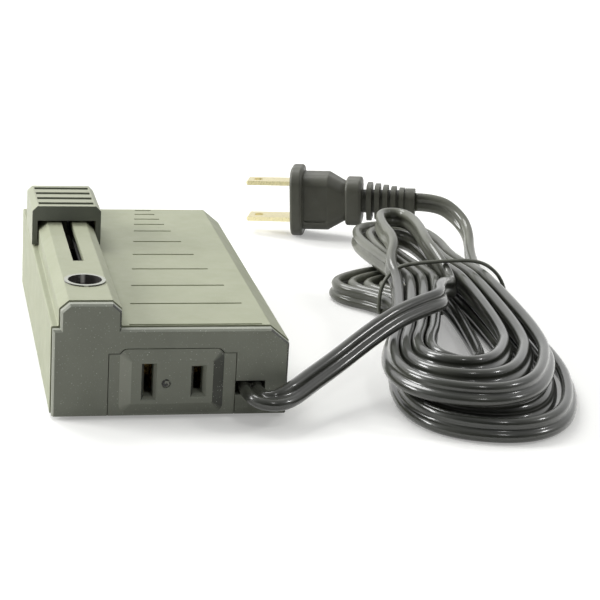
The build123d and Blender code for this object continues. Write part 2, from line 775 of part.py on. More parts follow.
# Slide potentiometer: a long can under a slotted lid
pot_y = (POT_FRONT + POT_REAR) / 2
pot_length = POT_REAR - POT_FRONT
lid_bottom = POT_TOP - POT_LID
with BuildPart() as slide_pot_can:
    with BuildSketch(Plane.XY.offset(POT_BOTTOM)):
        with Locations((RAIL_X, pot_y)):
            Rectangle(POT_WIDTH, pot_length)
    extrude(amount=lid_bottom - POT_BOTTOM)
    with BuildSketch(Plane.XY.offset(lid_bottom)):
        with Locations((RAIL_X, pot_y)):
            Rectangle(POT_WIDTH, pot_length + 2 * POT_LID_OVERHANG)
        with Locations((RAIL_X, SLOT_Y)):
            Rectangle(POT_SLOT_WIDTH, SLOT_LENGTH, mode=Mode.SUBTRACT)
        with Locations(*pot_screw_at):
            Circle(POT_SCREW_DIAMETER / 2, mode=Mode.SUBTRACT)
    extrude(amount=POT_LID)
    with BuildSketch(Plane.XY.offset(POT_BOTTOM + POT_WALL)):
        with Locations((RAIL_X, pot_y)):
            Rectangle(POT_WIDTH - 2 * POT_WALL, pot_length - 2 * POT_WALL)
    extrude(amount=lid_bottom - POT_BOTTOM - POT_WALL, mode=Mode.SUBTRACT)
save(slide_pot_can.part, "slide_pot_can")

with BuildPart() as resistance_track:
    with BuildSketch(Plane.XY.offset(POT_BOTTOM + POT_WALL)):
        with Locations((RAIL_X, pot_y)):
            Rectangle(TRACK_WIDTH, pot_length - 4 * POT_WALL)
    extrude(amount=TRACK_THICKNESS)
save(resistance_track.part, "resistance_track")

with BuildPart() as pot_screws:
    with BuildSketch(Plane.XY.offset(lid_bottom)):
        with Locations(*pot_screw_at):
            Circle(POT_SCREW_DIAMETER / 2)
    extrude(amount=POT_SCREW_TIP - lid_bottom)
    with BuildSketch(Plane.XY.offset(lid_bottom)):
        with Locations(*pot_screw_at):
            Circle(POT_SCREW_HEAD / 2)
    extrude(amount=-POT_SCREW_HEAD_HEIGHT)
save(pot_screws.part, "pot_screws")

# Lever and carriage of the potentiometer, which move with the knob
carriage_bottom = POT_BOTTOM + POT_WALL + TRACK_THICKNESS + CLEARANCE
with BuildPart() as pot_lever:
    with BuildSketch(Plane.XY.offset(carriage_bottom)):
        with Locations((RAIL_X, KNOB_Y)):
            Rectangle(POT_WIDTH - 2 * (POT_WALL + CLEARANCE), CARRIAGE_LENGTH)
    extrude(amount=CARRIAGE_TOP - carriage_bottom)
    with BuildSketch(Plane.XY.offset(CARRIAGE_TOP)):
        with Locations((RAIL_X, KNOB_Y)):
            Rectangle(LEVER_WIDTH, LEVER_LENGTH)
    extrude(amount=LEVER_TOP - CARRIAGE_TOP)
save(pot_lever.part, "pot_lever")

# Slider knob: a saddle over the rail with four finger grooves
with BuildPart() as slider_knob:
    with BuildSketch(Plane.XZ.offset(KNOB_LENGTH / 2 - KNOB_Y)):
        with Locations((RAIL_X, KNOB_BOTTOM)):
            Rectangle(
                KNOB_WIDTH,
                KNOB_TOP - KNOB_BOTTOM,
                align=(Align.CENTER, Align.MIN),
            )
    extrude(amount=-KNOB_LENGTH)
    top_edges = slider_knob.edges().group_by(Axis.Z)[-1]
    chamfer(top_edges.filter_by(Axis.Y), KNOB_CHAMFER)
    outer_edges = slider_knob.edges().filter_by(Axis.Y)
    fillet(outer_edges.filter_by_position(Axis.Z, KNOB_BOTTOM + 1, KNOB_TOP), EDGE_RADIUS)
    with BuildSketch(Plane.XZ.offset(KNOB_LENGTH / 2 - KNOB_Y)):
        with Locations((RAIL_X, KNOB_BOTTOM)):
            Rectangle(
                KNOB_WIDTH - 2 * KNOB_LEG,
                KNOB_CEILING - KNOB_BOTTOM,
                align=(Align.CENTER, Align.MIN),
            )
    extrude(amount=-KNOB_LENGTH, mode=Mode.SUBTRACT)
    with BuildSketch(Plane.XY.offset(KNOB_TOP)):
        with Locations((RAIL_X, KNOB_Y)):
            with GridLocations(0, KNOB_GROOVE_PITCH, 1, KNOB_GROOVES):
                Rectangle(KNOB_WIDTH - 2 * KNOB_GROOVE_END, KNOB_GROOVE_WIDTH)
    extrude(amount=-KNOB_GROOVE_DEPTH, mode=Mode.SUBTRACT)
    with BuildSketch(Plane.XY.offset(KNOB_CEILING)):
        with Locations((RAIL_X, KNOB_Y)):
            Rectangle(LEVER_WIDTH + FIT, LEVER_LENGTH + FIT)
    extrude(amount=LEVER_TOP + FIT - KNOB_CEILING, mode=Mode.SUBTRACT)
save(slider_knob.part, "slider_knob")

# Pilot light: bezel ring, lens and neon lamp
with BuildPart() as window_bezel:
    with BuildSketch(Plane.XY.offset(BEZEL_BOTTOM)):
        with Locations((RAIL_X, WINDOW_Y)):
            Circle(WINDOW_HOLE / 2 - FIT / 2)
    extrude(amount=RAIL_TOP - BEZEL_BOTTOM)
    with BuildSketch(Plane.XY.offset(RAIL_TOP)):
        with Locations((RAIL_X, WINDOW_Y)):
            Circle(BEZEL_FLANGE / 2)
    extrude(amount=BEZEL_PROUD)
    with BuildSketch(Plane.XY.offset(BEZEL_BOTTOM)):
        with Locations((RAIL_X, WINDOW_Y)):
            Circle(BEZEL_LEDGE / 2)
    extrude(amount=LENS_BOTTOM - BEZEL_BOTTOM, mode=Mode.SUBTRACT)
    with BuildSketch(Plane.XY.offset(LENS_BOTTOM)):
        with Locations((RAIL_X, WINDOW_Y)):
            Circle(BEZEL_BORE / 2)
    extrude(amount=RAIL_TOP + BEZEL_PROUD - LENS_BOTTOM, mode=Mode.SUBTRACT)
save(window_bezel.part, "window_bezel")

with BuildPart() as indicator_lens:
    with BuildSketch(Plane.XY.offset(LENS_BOTTOM)):
        with Locations((RAIL_X, WINDOW_Y)):
            Circle(BEZEL_BORE / 2 - FIT / 2)
    extrude(amount=LENS_TOP - LENS_BOTTOM)
    fillet(indicator_lens.edges().group_by(Axis.Z)[-1], EDGE_RADIUS)
save(indicator_lens.part, "indicator_lens")

with BuildPart() as neon_lamp:
    with BuildSketch(Plane.XY.offset(LAMP_BOTTOM)):
        with Locations((RAIL_X, WINDOW_Y)):
            Circle(LAMP_DIAMETER / 2)
    extrude(amount=LAMP_TOP - LAMP_BOTTOM)
    fillet(neon_lamp.edges().group_by(Axis.Z)[-1], LAMP_DIAMETER / 2 - CLEARANCE)
save(neon_lamp.part, "neon_lamp")

# Heat sink: a U-shaped aluminium plate lying on the board
with BuildPart() as heat_sink:
    with BuildSketch(Plane.XZ.offset(-SINK_FRONT)):
        with BuildLine():
            Polyline(
                (SINK_LEFT, BOARD_TOP),
                (SINK_LEFT, SINK_TOP),
                (SINK_LEFT + SINK_THICKNESS, SINK_TOP),
                (SINK_LEFT + SINK_THICKNESS, BOARD_TOP + SINK_THICKNESS),
                (SINK_RIGHT - SINK_THICKNESS, BOARD_TOP + SINK_THICKNESS),
                (SINK_RIGHT - SINK_THICKNESS, SINK_TOP),
                (SINK_RIGHT, SINK_TOP),
                (SINK_RIGHT, BOARD_TOP),
                close=True,
            )
        make_face()
    extrude(amount=SINK_FRONT - SINK_REAR)
    with BuildSketch(Plane.XY.offset(BOARD_TOP)):
        with Locations((TRIAC_X, TRIAC_FRONT + TRIAC_BODY_LENGTH + TRIAC_TAB_LENGTH / 2)):
            Circle(TRIAC_SCREW_DIAMETER / 2)
    extrude(amount=SINK_THICKNESS, mode=Mode.SUBTRACT)
save(heat_sink.part, "heat_sink")

# Triac bolted flat to the heat sink
seat = BOARD_TOP + SINK_THICKNESS
with BuildPart() as triac:
    with BuildSketch(Plane.XY.offset(seat)):
        with Locations((TRIAC_X, TRIAC_FRONT)):
            Rectangle(
                TRIAC_WIDTH,
                TRIAC_BODY_LENGTH + TRIAC_TAB_LENGTH,
                align=(Align.CENTER, Align.MIN),
            )
        with Locations((TRIAC_X, TRIAC_FRONT + TRIAC_BODY_LENGTH + TRIAC_TAB_LENGTH / 2)):
            Circle(TRIAC_SCREW_DIAMETER / 2, mode=Mode.SUBTRACT)
    extrude(amount=TRIAC_TAB_THICKNESS)
    with BuildSketch(Plane.XY.offset(seat)):
        with Locations((TRIAC_X, TRIAC_FRONT)):
            Rectangle(TRIAC_WIDTH, TRIAC_BODY_LENGTH, align=(Align.CENTER, Align.MIN))
    extrude(amount=TRIAC_BODY_HEIGHT)
    leg_top = seat + (TRIAC_BODY_HEIGHT + TRIAC_LEG_THICKNESS) / 2
    leg_rear = TRIAC_FRONT - TRIAC_LEG_REACH + TRIAC_LEG_THICKNESS
    for place in (-1, 0, 1):
        with BuildSketch(Plane.YZ.offset(TRIAC_X + place * TRIAC_LEG_PITCH)):
            with BuildLine():
                Polyline(
                    (TRIAC_FRONT, leg_top - TRIAC_LEG_THICKNESS),
                    (TRIAC_FRONT, leg_top),
                    (leg_rear - TRIAC_LEG_THICKNESS, leg_top),
                    (leg_rear - TRIAC_LEG_THICKNESS, BOARD_TOP),
                    (leg_rear, BOARD_TOP),
                    (leg_rear, leg_top - TRIAC_LEG_THICKNESS),
                    close=True,
                )
            make_face()
        extrude(amount=TRIAC_LEG_WIDTH / 2, both=True)
save(triac.part, "triac")

triac_screw = pan_screws(
    [(TRIAC_X, TRIAC_FRONT + TRIAC_BODY_LENGTH + TRIAC_TAB_LENGTH / 2)],
    seat + TRIAC_TAB_THICKNESS,
    BOARD_TOP,
    TRIAC_SCREW_DIAMETER,
    TRIAC_SCREW_HEAD,
    TRIAC_SCREW_HEAD_HEIGHT,
)
save(triac_screw, "triac_screw")

# Choke: a wound toroid lying on the board
with BuildPart() as choke:
    with BuildSketch(Plane.XY.offset(BOARD_TOP)):
        with Locations((CHOKE_X, CHOKE_Y)):
            Circle(CHOKE_OUTER / 2)
            Circle(CHOKE_INNER / 2, mode=Mode.SUBTRACT)
    extrude(amount=CHOKE_HEIGHT)
    fillet(choke.edges().group_by(Axis.Z)[-1], CHOKE_ROUNDING)
save(choke.part, "choke")

# Film capacitor
with BuildPart() as film_capacitor:
    with BuildSketch(Plane.XY.offset(BOARD_TOP)):
        with Locations((FILM_X, FILM_Y)):
            Rectangle(FILM_LENGTH, FILM_WIDTH)
    extrude(amount=FILM_HEIGHT)
    fillet(film_capacitor.edges().group_by(Axis.Z)[-1], EDGE_RADIUS)
save(film_capacitor.part, "film_capacitor")


def axial_parts(places, diameter, length):
    """Small cylinders along Y, each on two wires bent down into the board."""
    height = BOARD_TOP + diameter / 2 + PART_LEAD_DIAMETER
    reach = length / 2 + PART_LEAD_REACH
    with BuildPart() as parts:
        for x, y in places:
            with BuildSketch(Plane.XZ.offset(-y)):
                with Locations((x, height)):
                    Circle(diameter / 2)
            extrude(amount=length / 2, both=True)
            with BuildSketch(Plane.XZ.offset(-y)):
                with Locations((x, height)):
                    Rectangle(PART_LEAD_DIAMETER, PART_LEAD_DIAMETER)
            extrude(amount=reach, both=True)
            with BuildSketch(Plane.XY.offset(BOARD_TOP)):
                with Locations((x, y - reach), (x, y + reach)):
                    Rectangle(PART_LEAD_DIAMETER, PART_LEAD_DIAMETER)
            extrude(amount=height + PART_LEAD_DIAMETER / 2 - BOARD_TOP)
    return parts.part


save(axial_parts([(DIAC_X, DIAC_Y)], DIAC_DIAMETER, DIAC_LENGTH), "diac")
resistor_places = [(x, RESISTOR_Y) for x in RESISTOR_X]
save(axial_parts(resistor_places, RESISTOR_DIAMETER, RESISTOR_LENGTH), "resistors")

# Trimmer for the dimmest setting
with BuildPart() as trimmer:
    with BuildSketch(Plane.XY.offset(BOARD_TOP)):
        with Locations((TRIMMER_X, TRIMMER_Y)):
            Rectangle(TRIMMER_SIZE, TRIMMER_SIZE)
    extrude(amount=TRIMMER_HEIGHT)
    with BuildSketch(Plane.XY.offset(BOARD_TOP + TRIMMER_HEIGHT)):
        with Locations((TRIMMER_X, TRIMMER_Y)):
            Circle(TRIMMER_ROTOR / 2)
    extrude(amount=TRIMMER_ROTOR_HEIGHT)
save(trimmer.part, "trimmer")

# Fuse in two spring clips under the potentiometer
with BuildPart() as fuse:
    with BuildSketch(Plane.XZ.offset(-FUSE_Y)):
        with Locations((RAIL_X, FUSE_Z)):
            Circle(FUSE_DIAMETER / 2)
    extrude(amount=FUSE_LENGTH / 2, both=True)
save(fuse.part, "fuse")

with BuildPart() as fuse_clips:
    clip_y = FUSE_Y - FUSE_LENGTH / 2 + CLIP_LENGTH / 2
    for y in (clip_y, 2 * FUSE_Y - clip_y):
        half = FUSE_DIAMETER / 2
        with BuildSketch(Plane.XZ.offset(-y)):
            with BuildLine():
                Polyline(
                    (RAIL_X - half - CLIP_THICKNESS, BOARD_TOP),
                    (RAIL_X - half - CLIP_THICKNESS, CLIP_TOP),
                    (RAIL_X - half, CLIP_TOP),
                    (RAIL_X - half, BOARD_TOP + CLIP_THICKNESS),
                    (RAIL_X + half, BOARD_TOP + CLIP_THICKNESS),
                    (RAIL_X + half, CLIP_TOP),
                    (RAIL_X + half + CLIP_THICKNESS, CLIP_TOP),
                    (RAIL_X + half + CLIP_THICKNESS, BOARD_TOP),
                    close=True,
                )
            make_face()
        extrude(amount=CLIP_LENGTH / 2, both=True)
save(fuse_clips.part, "fuse_clips")


def route_radii(points):
    """A bend radius for each corner: as large as the shorter run beside it allows."""
    radii = []
    for before, corner, after in zip(points, points[1:], points[2:]):
        first = Vector(*corner) - Vector(*before)
        second = Vector(*after) - Vector(*corner)
        half_turn = math.radians(first.get_angle(second)) / 2
        radii.append(BEND_SHARE * min(first.length, second.length) / math.tan(half_turn))
    return radii


def tube(points, diameter, name):
    """A round tube along straight runs joined by tangent arcs."""
    radii = route_radii(points)
    with BuildPart() as pipe:
        with BuildLine() as path:
            FilletPolyline(*points, radius=radii)
        with BuildSketch(Plane(origin=path.line @ 0, z_dir=path.line % 0)):
            Circle(diameter / 2)
        sweep()
    length = sum(edge.length for edge in path.edges())
    expected = math.pi * diameter**2 / 4 * length
    print(
        name,
        f"length {length:.1f} mm, least radius {min(radii):.1f} mm,",
        f"volume {pipe.part.volume / expected:.3f} of its section times its length",
    )
    save(pipe.part, name)


# Wires inside the case
tube(WIRE_NEUTRAL, WIRE_DIAMETER, "wire_neutral")
tube(WIRE_HOT, WIRE_DIAMETER, "wire_hot")
tube(WIRE_OUTLET, WIRE_DIAMETER, "wire_outlet")
tube(LAMP_LEAD_LEFT, LAMP_LEAD_DIAMETER, "lamp_lead_left")
tube(LAMP_LEAD_RIGHT, LAMP_LEAD_DIAMETER, "lamp_lead_right")

# Flat twin cord where the case holds it, through the notch and under the clamp
with BuildPart() as cord_lead_in:
    with BuildSketch(Plane.XZ.offset(-CORD_EXIT_Y)):
        with Locations((CORD_X, CORD_Z)):
            with GridLocations(CORD_WIDTH - CORD_THICKNESS, 0, 2, 1):
                Circle(CORD_THICKNESS / 2)
            Rectangle(CORD_WIDTH - CORD_THICKNESS, CORD_THICKNESS - 2 * CORD_GROOVE)
    extrude(amount=CORD_EXIT_Y - LEAD_IN_REAR)
save(cord_lead_in.part, "cord_lead_in")


def heading(x, y, z, degrees, slope=0.0):
    """A place on the hank and the unit direction that the cord has there."""
    angle = math.radians(degrees)
    return (Vector(x, y, z), Vector(math.cos(angle), math.sin(angle), slope).normalized())


def turned(x, y, degrees):
    """The flat offset (x, y) turned about Z."""
    return Vector(x, y, 0).rotate(Axis.Z, degrees)


def near_loop(size, left_z, tip_z, right_z):
    """Left side, tip and right side of a near loop, counter-clockwise."""
    tilt = NEAR_TILT + NEAR_TILT_STEP * size
    half_width = NEAR_HALF_WIDTH + NEAR_WIDTH_STEP * size
    half_length = NEAR_HALF_LENGTH + NEAR_LENGTH_STEP * size
    centre = NEAR_CENTRE + size * NEAR_CENTRE_STEP
    stations = [
        (-half_width, 0, 270, left_z),
        (0, -half_length, 0, tip_z),
        (half_width, 0, 90, right_z),
    ]
    nodes = []
    for x, y, direction, z in stations:
        place = centre + turned(x, y, tilt)
        slope = (right_z - left_z) / NEAR_DESCENT if direction == 0 else 0.0
        nodes.append(heading(place.X, place.Y, z, direction + tilt, slope))
    return nodes


def far_loop(aim, reach, sides, heights, waist, turns):
    """A far loop from the right of the waist round its tip to the left of the waist."""
    right, left = sides
    half = (right + left) / 2
    stations = [
        (reach - half, -right, 0),
        (reach, (left - right) / 2, 90),
        (reach - half, left, 180),
    ]
    entry = WAIST + turned(waist[0], 0, turns[0])
    nodes = [heading(entry.X, entry.Y, heights[0], 90 + turns[0])]
    for (x, y, direction), z in zip(stations, heights[1:4]):
        place = WAIST + turned(x, y, aim)
        nodes.append(heading(place.X, place.Y, z, aim + direction))
    leave = WAIST + turned(-waist[1], 0, turns[1])
    nodes.append(heading(leave.X, leave.Y, heights[4], 270 + turns[1]))
    return nodes


def hank_nodes():
    """Every station of the hank, from the end of the free cord to the plug's stretch."""
    waist_high = HIGH + WAIST_LIFT
    waist_low = LOW + WAIST_LIFT
    flat_high = [waist_high, HIGH, HIGH, HIGH, waist_high]
    flat_low = [waist_low, LOW, LOW, LOW, waist_low]
    over_top = [waist_high, TOP_LAYER, TOP_LAYER, TOP_LAYER - TOP_DROP, waist_high]
    nodes = [heading(*station) for station in HANK_ENTRY]
    gaps = [WAIST_INNER + step * WAIST_STEP for step in range(len(HIGH_SIZES), -1, -1)]
    nodes += far_loop(TOP_AIM, TOP_REACH, TOP_SIDES, over_top, (gaps[-1], gaps[0]), HIGH_WAIST_TURNS)
    for size, reach, sides, waist in zip(HIGH_SIZES, HIGH_REACH, HIGH_SIDES, zip(gaps, gaps[1:])):
        nodes += near_loop(size, HIGH, HIGH, HIGH)
        nodes += far_loop(HIGH_AIM, reach, sides, flat_high, waist, HIGH_WAIST_TURNS)
    nodes += near_loop(0, HIGH, (HIGH + LOW) / 2, LOW)
    for turn in range(LOW_TURNS):
        half = LOW_HALF_WIDTH + turn * LOW_WIDTH_STEP
        reach = LOW_REACH + turn * LOW_REACH_STEP
        waist = (WAIST_INNER + turn * LOW_WAIST_RIGHT, WAIST_INNER + turn * LOW_WAIST_LEFT)
        nodes += far_loop(LOW_AIM, reach, (half, half), flat_low, waist, LOW_WAIST_TURNS)
        nodes += near_loop(turn + 1, LOW, LOW, LOW)
    nodes.append(heading(*HANK_LEAVE, waist_low, LEAVE_HEADING))
    return nodes


def biarc(start, start_way, end, end_way):
    """The two arcs that join a pair of stations, each as start, middle and end."""
    chord = end - start
    ways = start_way + end_way
    square = 2 * (1 - start_way.dot(end_way))
    linear = 2 * chord.dot(ways)
    if square < NEARLY_STRAIGHT:
        arm = chord.dot(chord) / linear
    else:
        arm = (math.sqrt(linear**2 + 4 * square * chord.dot(chord)) - linear) / (2 * square)
    joint = (start + end + (start_way - end_way) * arm) * 0.5
    joint_way = (end - end_way * arm - start - start_way * arm).normalized()
    arcs = []
    for first, way, last in ((start, start_way, joint), (joint, joint_way, end)):
        across = last - first
        sideways = across - way * across.dot(way)
        half_turn = math.atan2(sideways.length, across.dot(way))
        rise = across.length / 2 * math.tan(half_turn / 2)
        outward = (way - across.normalized() * way.dot(across.normalized())).normalized()
        arcs.append((first, (first + last) * 0.5 + outward * rise, last))
    return arcs


# Hank: one unbroken tube, loops drawn in at the waist
nodes = hank_nodes()
lead = nodes[0][0] - nodes[0][1] * CORD_DIAMETER
trail = nodes[-1][0] + nodes[-1][1] * CORD_DIAMETER
with BuildPart() as cord_hank:
    with BuildLine():
        runs = [Line(lead, nodes[0][0])]
        for (start, start_way), (end, end_way) in zip(nodes, nodes[1:]):
            for first, middle, last in biarc(start, start_way, end, end_way):
                runs.append(ThreePointArc(first, middle, last))
        runs.append(Line(nodes[-1][0], trail))
    with BuildSketch(Plane(origin=lead, z_dir=nodes[0][1])):
        Circle(CORD_DIAMETER / 2)
    sweep()
save(cord_hank.part, "cord_hank")

hank_length = sum(run.length for run in runs)
samples = []
for run in runs:
    count = max(1, round(run.length / SAMPLE_STEP))
    samples += [tuple(run @ (index / count)) for index in range(count)]
travel = [0.0]
for before, after in zip(samples, samples[1:]):
    travel.append(travel[-1] + math.dist(before, after))
least = min(
    math.dist(samples[i], samples[j])
    for i in range(len(samples))
    for j in range(i + 1, len(samples))
    if travel[j] - travel[i] > GAP_WINDOW
)
hank_volume = math.pi * CORD_DIAMETER**2 / 4 * hank_length
print(
    f"cord_hank length {hank_length:.0f} mm, least gap to itself {least - CORD_DIAMETER:.2f} mm,",
    f"volume {cord_hank.part.volume / hank_volume:.3f} of its section times its length",
)

# Free cord from the case up onto the hank
tube([*CORD_ROUTE, tuple(lead)], CORD_DIAMETER, "power_cord")

# Tie round the waist, an arch above and squarer below
with BuildPart() as cord_tie:
    tie_height = TIE_TOP - TIE_BOTTOM
    across = turned(1, 0, TIE_TURN)
    along = turned(0, 1, TIE_TURN)
    tie_middle = Vector(TIE_X, WAIST.Y, (TIE_TOP + TIE_BOTTOM) / 2)
    with BuildSketch(Plane(origin=tie_middle, x_dir=across, z_dir=along * -1)) as outline:
        Rectangle(TIE_INSIDE_WIDTH + 2 * TIE_THICKNESS, tie_height)
        fillet(outline.vertices().group_by(Axis.Y)[-1], TIE_TOP_RADIUS)
        fillet(outline.vertices().group_by(Axis.Y)[0], TIE_BOTTOM_RADIUS)
        offset(amount=-TIE_THICKNESS, mode=Mode.SUBTRACT)
    extrude(amount=TIE_BAND / 2, both=True)
save(cord_tie.part, "cord_tie")

# Plug, drawn along its own axis from the flange's face to the cord
rise = math.radians(PLUG_RISE)
turn = math.radians(PLUG_HEADING)
plug_axis = Vector(
    math.cos(turn) * math.cos(rise), math.sin(turn) * math.cos(rise), math.sin(rise)
)
plug_up = (Vector(0, 0, 1) - plug_axis * math.sin(rise)).normalized()


def plug_plane(distance):
    """The plane across the plug at a distance behind its flange's face."""
    return Plane(origin=PLUG_FACE + plug_axis * distance, x_dir=plug_up, z_dir=plug_axis)


with BuildPart() as plug_body:
    with BuildSketch(plug_plane(0)):
        RectangleRounded(PLUG_FLANGE[0], PLUG_FLANGE[1], PLUG_FLANGE_RADIUS)
    extrude(amount=PLUG_FLANGE[2])
    fillet(plug_body.edges().filter_by(GeomType.LINE, reverse=True), PLUG_FLANGE_EDGE)
    with BuildSketch(plug_plane(PLUG_FLANGE[2])):
        RectangleRounded(*PLUG_GRIP, PLUG_CORNER)
    extrude(amount=PLUG_GRIP_END - PLUG_FLANGE[2])
    with BuildSketch(plug_plane(PLUG_GRIP_END)):
        RectangleRounded(*PLUG_GRIP, PLUG_CORNER)
    with BuildSketch(plug_plane(PLUG_WAIST_AT)):
        RectangleRounded(*PLUG_WAIST, PLUG_CORNER)
    loft()
    recess_middle = (PLUG_FLANGE[2] + PLUG_GRIP_END) / 2
    for side in (-1, 1):
        face = plug_plane(recess_middle)
        outward = face.y_dir * side
        recess_at = face.origin + outward * (PLUG_GRIP[1] / 2)
        with BuildSketch(Plane(origin=recess_at, x_dir=plug_axis, z_dir=outward)):
            RectangleRounded(PLUG_RECESS[0], PLUG_RECESS[1], PLUG_RECESS_CORNER)
        extrude(amount=-PLUG_RECESS[2], mode=Mode.SUBTRACT)
    for side in (-1, 1):
        slot_at = PLUG_FACE + plug_up * (side * BLADE_SPACING / 2)
        width = BLADE_NARROW if side > 0 else BLADE_WIDE
        with BuildSketch(Plane(origin=slot_at, x_dir=plug_up, z_dir=plug_axis)):
            Rectangle(BLADE_THICKNESS, width)
        extrude(amount=BLADE_ROOT, mode=Mode.SUBTRACT)
save(plug_body.part, "plug_body")


def blade(side, width):
    """One plug blade, rounded at the tip, with a hole near it."""
    centre = PLUG_FACE + plug_up * (side * BLADE_SPACING / 2)
    plane = Plane(origin=centre, x_dir=plug_axis * -1, z_dir=plug_up)
    with BuildPart() as piece:
        with BuildSketch(plane):
            with Locations((-BLADE_ROOT, 0)):
                Rectangle(
                    BLADE_ROOT + BLADE_LENGTH,
                    width,
                    align=(Align.MIN, Align.CENTER),
                )
            with Locations((BLADE_HOLE_AT, 0)):
                Circle(BLADE_HOLE / 2, mode=Mode.SUBTRACT)
        extrude(amount=BLADE_THICKNESS / 2, both=True)
        tip = piece.faces().sort_by(Axis((0, 0, 0), tuple(plug_axis)))[0]
        chamfer(tip.edges(), BLADE_THICKNESS / 3)
    return piece.part


save(blade(1, BLADE_NARROW), "plug_blade_hot")
save(blade(-1, BLADE_WIDE), "plug_blade_neutral")

# Strain relief: a collar, five ribs and an end block on a slim core
with BuildPart() as strain_relief:
    with BuildSketch(plug_plane(PLUG_WAIST_AT)):
        RectangleRounded(*PLUG_COLLAR, PLUG_CORNER)
    extrude(amount=PLUG_COLLAR_END - PLUG_WAIST_AT)
    fillet(strain_relief.edges().filter_by(GeomType.LINE, reverse=True), PLUG_FLANGE_EDGE)
    with BuildSketch(plug_plane(PLUG_COLLAR_END - RELIEF_OVERLAP)):
        RectangleRounded(*RELIEF_CORE, RELIEF_CORNER)
    extrude(amount=PLUG_LENGTH - PLUG_COLLAR_END + RELIEF_OVERLAP)
    for rib in range(RIB_COUNT):
        share = rib / (RIB_COUNT - 1)
        height = RIB_FIRST[0] + share * (RIB_LAST[0] - RIB_FIRST[0])
        depth = RIB_FIRST[1] + share * (RIB_LAST[1] - RIB_FIRST[1])
        with BuildSketch(plug_plane(RIB_START + rib * RIB_PITCH)):
            RectangleRounded(height, depth, RELIEF_CORNER)
        extrude(amount=RIB_LENGTH)
    with BuildSketch(plug_plane(PLUG_LENGTH - RELIEF_END_LENGTH)):
        RectangleRounded(*RELIEF_END, RELIEF_CORNER)
    extrude(amount=RELIEF_END_LENGTH)
save(strain_relief.part, "strain_relief")

# Cord from the hank to the plug
relief_end = PLUG_FACE + plug_axis * PLUG_LENGTH
relief_way = relief_end + plug_axis * RELIEF_RUN
plug_route = [tuple(trail), *PLUG_CORD_POINTS, tuple(relief_way), tuple(relief_end)]
tube(plug_route, CORD_DIAMETER, "plug_cord")
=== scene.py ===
import math
import bpy
import numpy as np
from mathutils import Matrix


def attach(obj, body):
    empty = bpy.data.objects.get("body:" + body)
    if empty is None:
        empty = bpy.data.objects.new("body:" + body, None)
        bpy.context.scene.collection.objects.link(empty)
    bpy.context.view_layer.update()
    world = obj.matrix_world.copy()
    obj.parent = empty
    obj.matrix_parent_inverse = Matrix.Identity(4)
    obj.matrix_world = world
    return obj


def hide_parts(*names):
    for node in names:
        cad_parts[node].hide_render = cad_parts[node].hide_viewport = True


# A foot dimmer with its tied cord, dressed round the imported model. Lengths in the values below are in
# millimetres, as in the part, and MM turns them to metres. Angles are in degrees.

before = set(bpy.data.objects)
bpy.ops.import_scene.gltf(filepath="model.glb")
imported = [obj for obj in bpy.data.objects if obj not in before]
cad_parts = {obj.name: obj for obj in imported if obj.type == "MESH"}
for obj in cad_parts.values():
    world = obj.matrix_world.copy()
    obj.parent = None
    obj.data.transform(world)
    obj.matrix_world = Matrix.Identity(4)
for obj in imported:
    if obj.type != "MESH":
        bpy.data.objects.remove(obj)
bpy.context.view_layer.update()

MM = 0.001
TAU = 2 * math.pi

# Camera, set so that the case's corners and the outlet's slots fall where they do in the photograph
CAMERA_PLACE = (-66.404, -497.48, 171.712)
CAMERA_PITCH = 17.284
CAMERA_YAW = 12.654
CAMERA_ROLL = 3.582
CAMERA_LENS = 111.0
CAMERA_SENSOR = 36.0
CAMERA_NEAREST = 10.0

# Flat twin cord: two round conductors side by side with a groove between them
CORD_WIDTH = 6.4
CORD_THICKNESS = 3.2
CORD_WEB = 1.2

# Its mesh: a ring at every step, the points in a ring, and the length of cord to each unit of its UV map
CORD_STEP = 1.2
CORD_SECTION = 32
CORD_UV_LENGTH = 20.0

# Route of the cord: out of the case, up to the hank, and on to the plug
ROUTE_TO_HANK = [
    (20.6, -59.4, 8.1),
    (20.6, -62.6, 8.1),
    (21.8, -66.6, 7.8),
    (25.6, -68.0, 7.8),
    (30.4, -64.6, 8.4),
    (36.5, -57.8, 9.6),
    (45.0, -49.2, 11.4),
    (54.8, -40.8, 15.0),
    (64.0, -33.5, 18.0),
    (70.6, -28.4, 19.0),
    (76.6, -23.8, 19.4),
    (80.8, -20.4, 19.4),
    (82.9, -15.6, 19.0),
    (84.4, -9.0, 18.6),
    (87.6, -1.4, 17.2),
    (91.6, 6.4, 14.6),
    (94.6, 13.4, 12.3),
]
ROUTE_TO_PLUG = [
    (112.0, 22.0, 4.2),
    (114.8, 34.0, 4.4),
    (114.6, 50.0, 4.6),
    (118.9, 73.5, 4.8),
    (122.7, 88.4, 8.6),
    (120.6, 96.2, 12.5),
    (115.0, 101.84, 15.9),
    (107.46, 104.43, 15.35),
]

# Waist of the hank, where the tie is: its middle, and half the length of the cord's runs through it. The
# first turn lies WAIST_INNER from the middle and each next one a step further out, and the low turns have
# one step for the right and one for the left side.
WAIST = (93.5, 24.6)
WAIST_RUN = 5.0
WAIST_INNER = 2.5
HIGH_WAIST_STEP = 3.98
LOW_WAIST_STEPS = (3.95, 4.4)

# Heights of the cord's line in the low turns, in the high turns and in the top loop, and how much higher
# it lies where it goes into the waist and out of it
LOW = 3.4
HIGH = 10.6
OVER = 17.8
LOW_LIFT = 0.8
HIGH_LIFT = 1.2

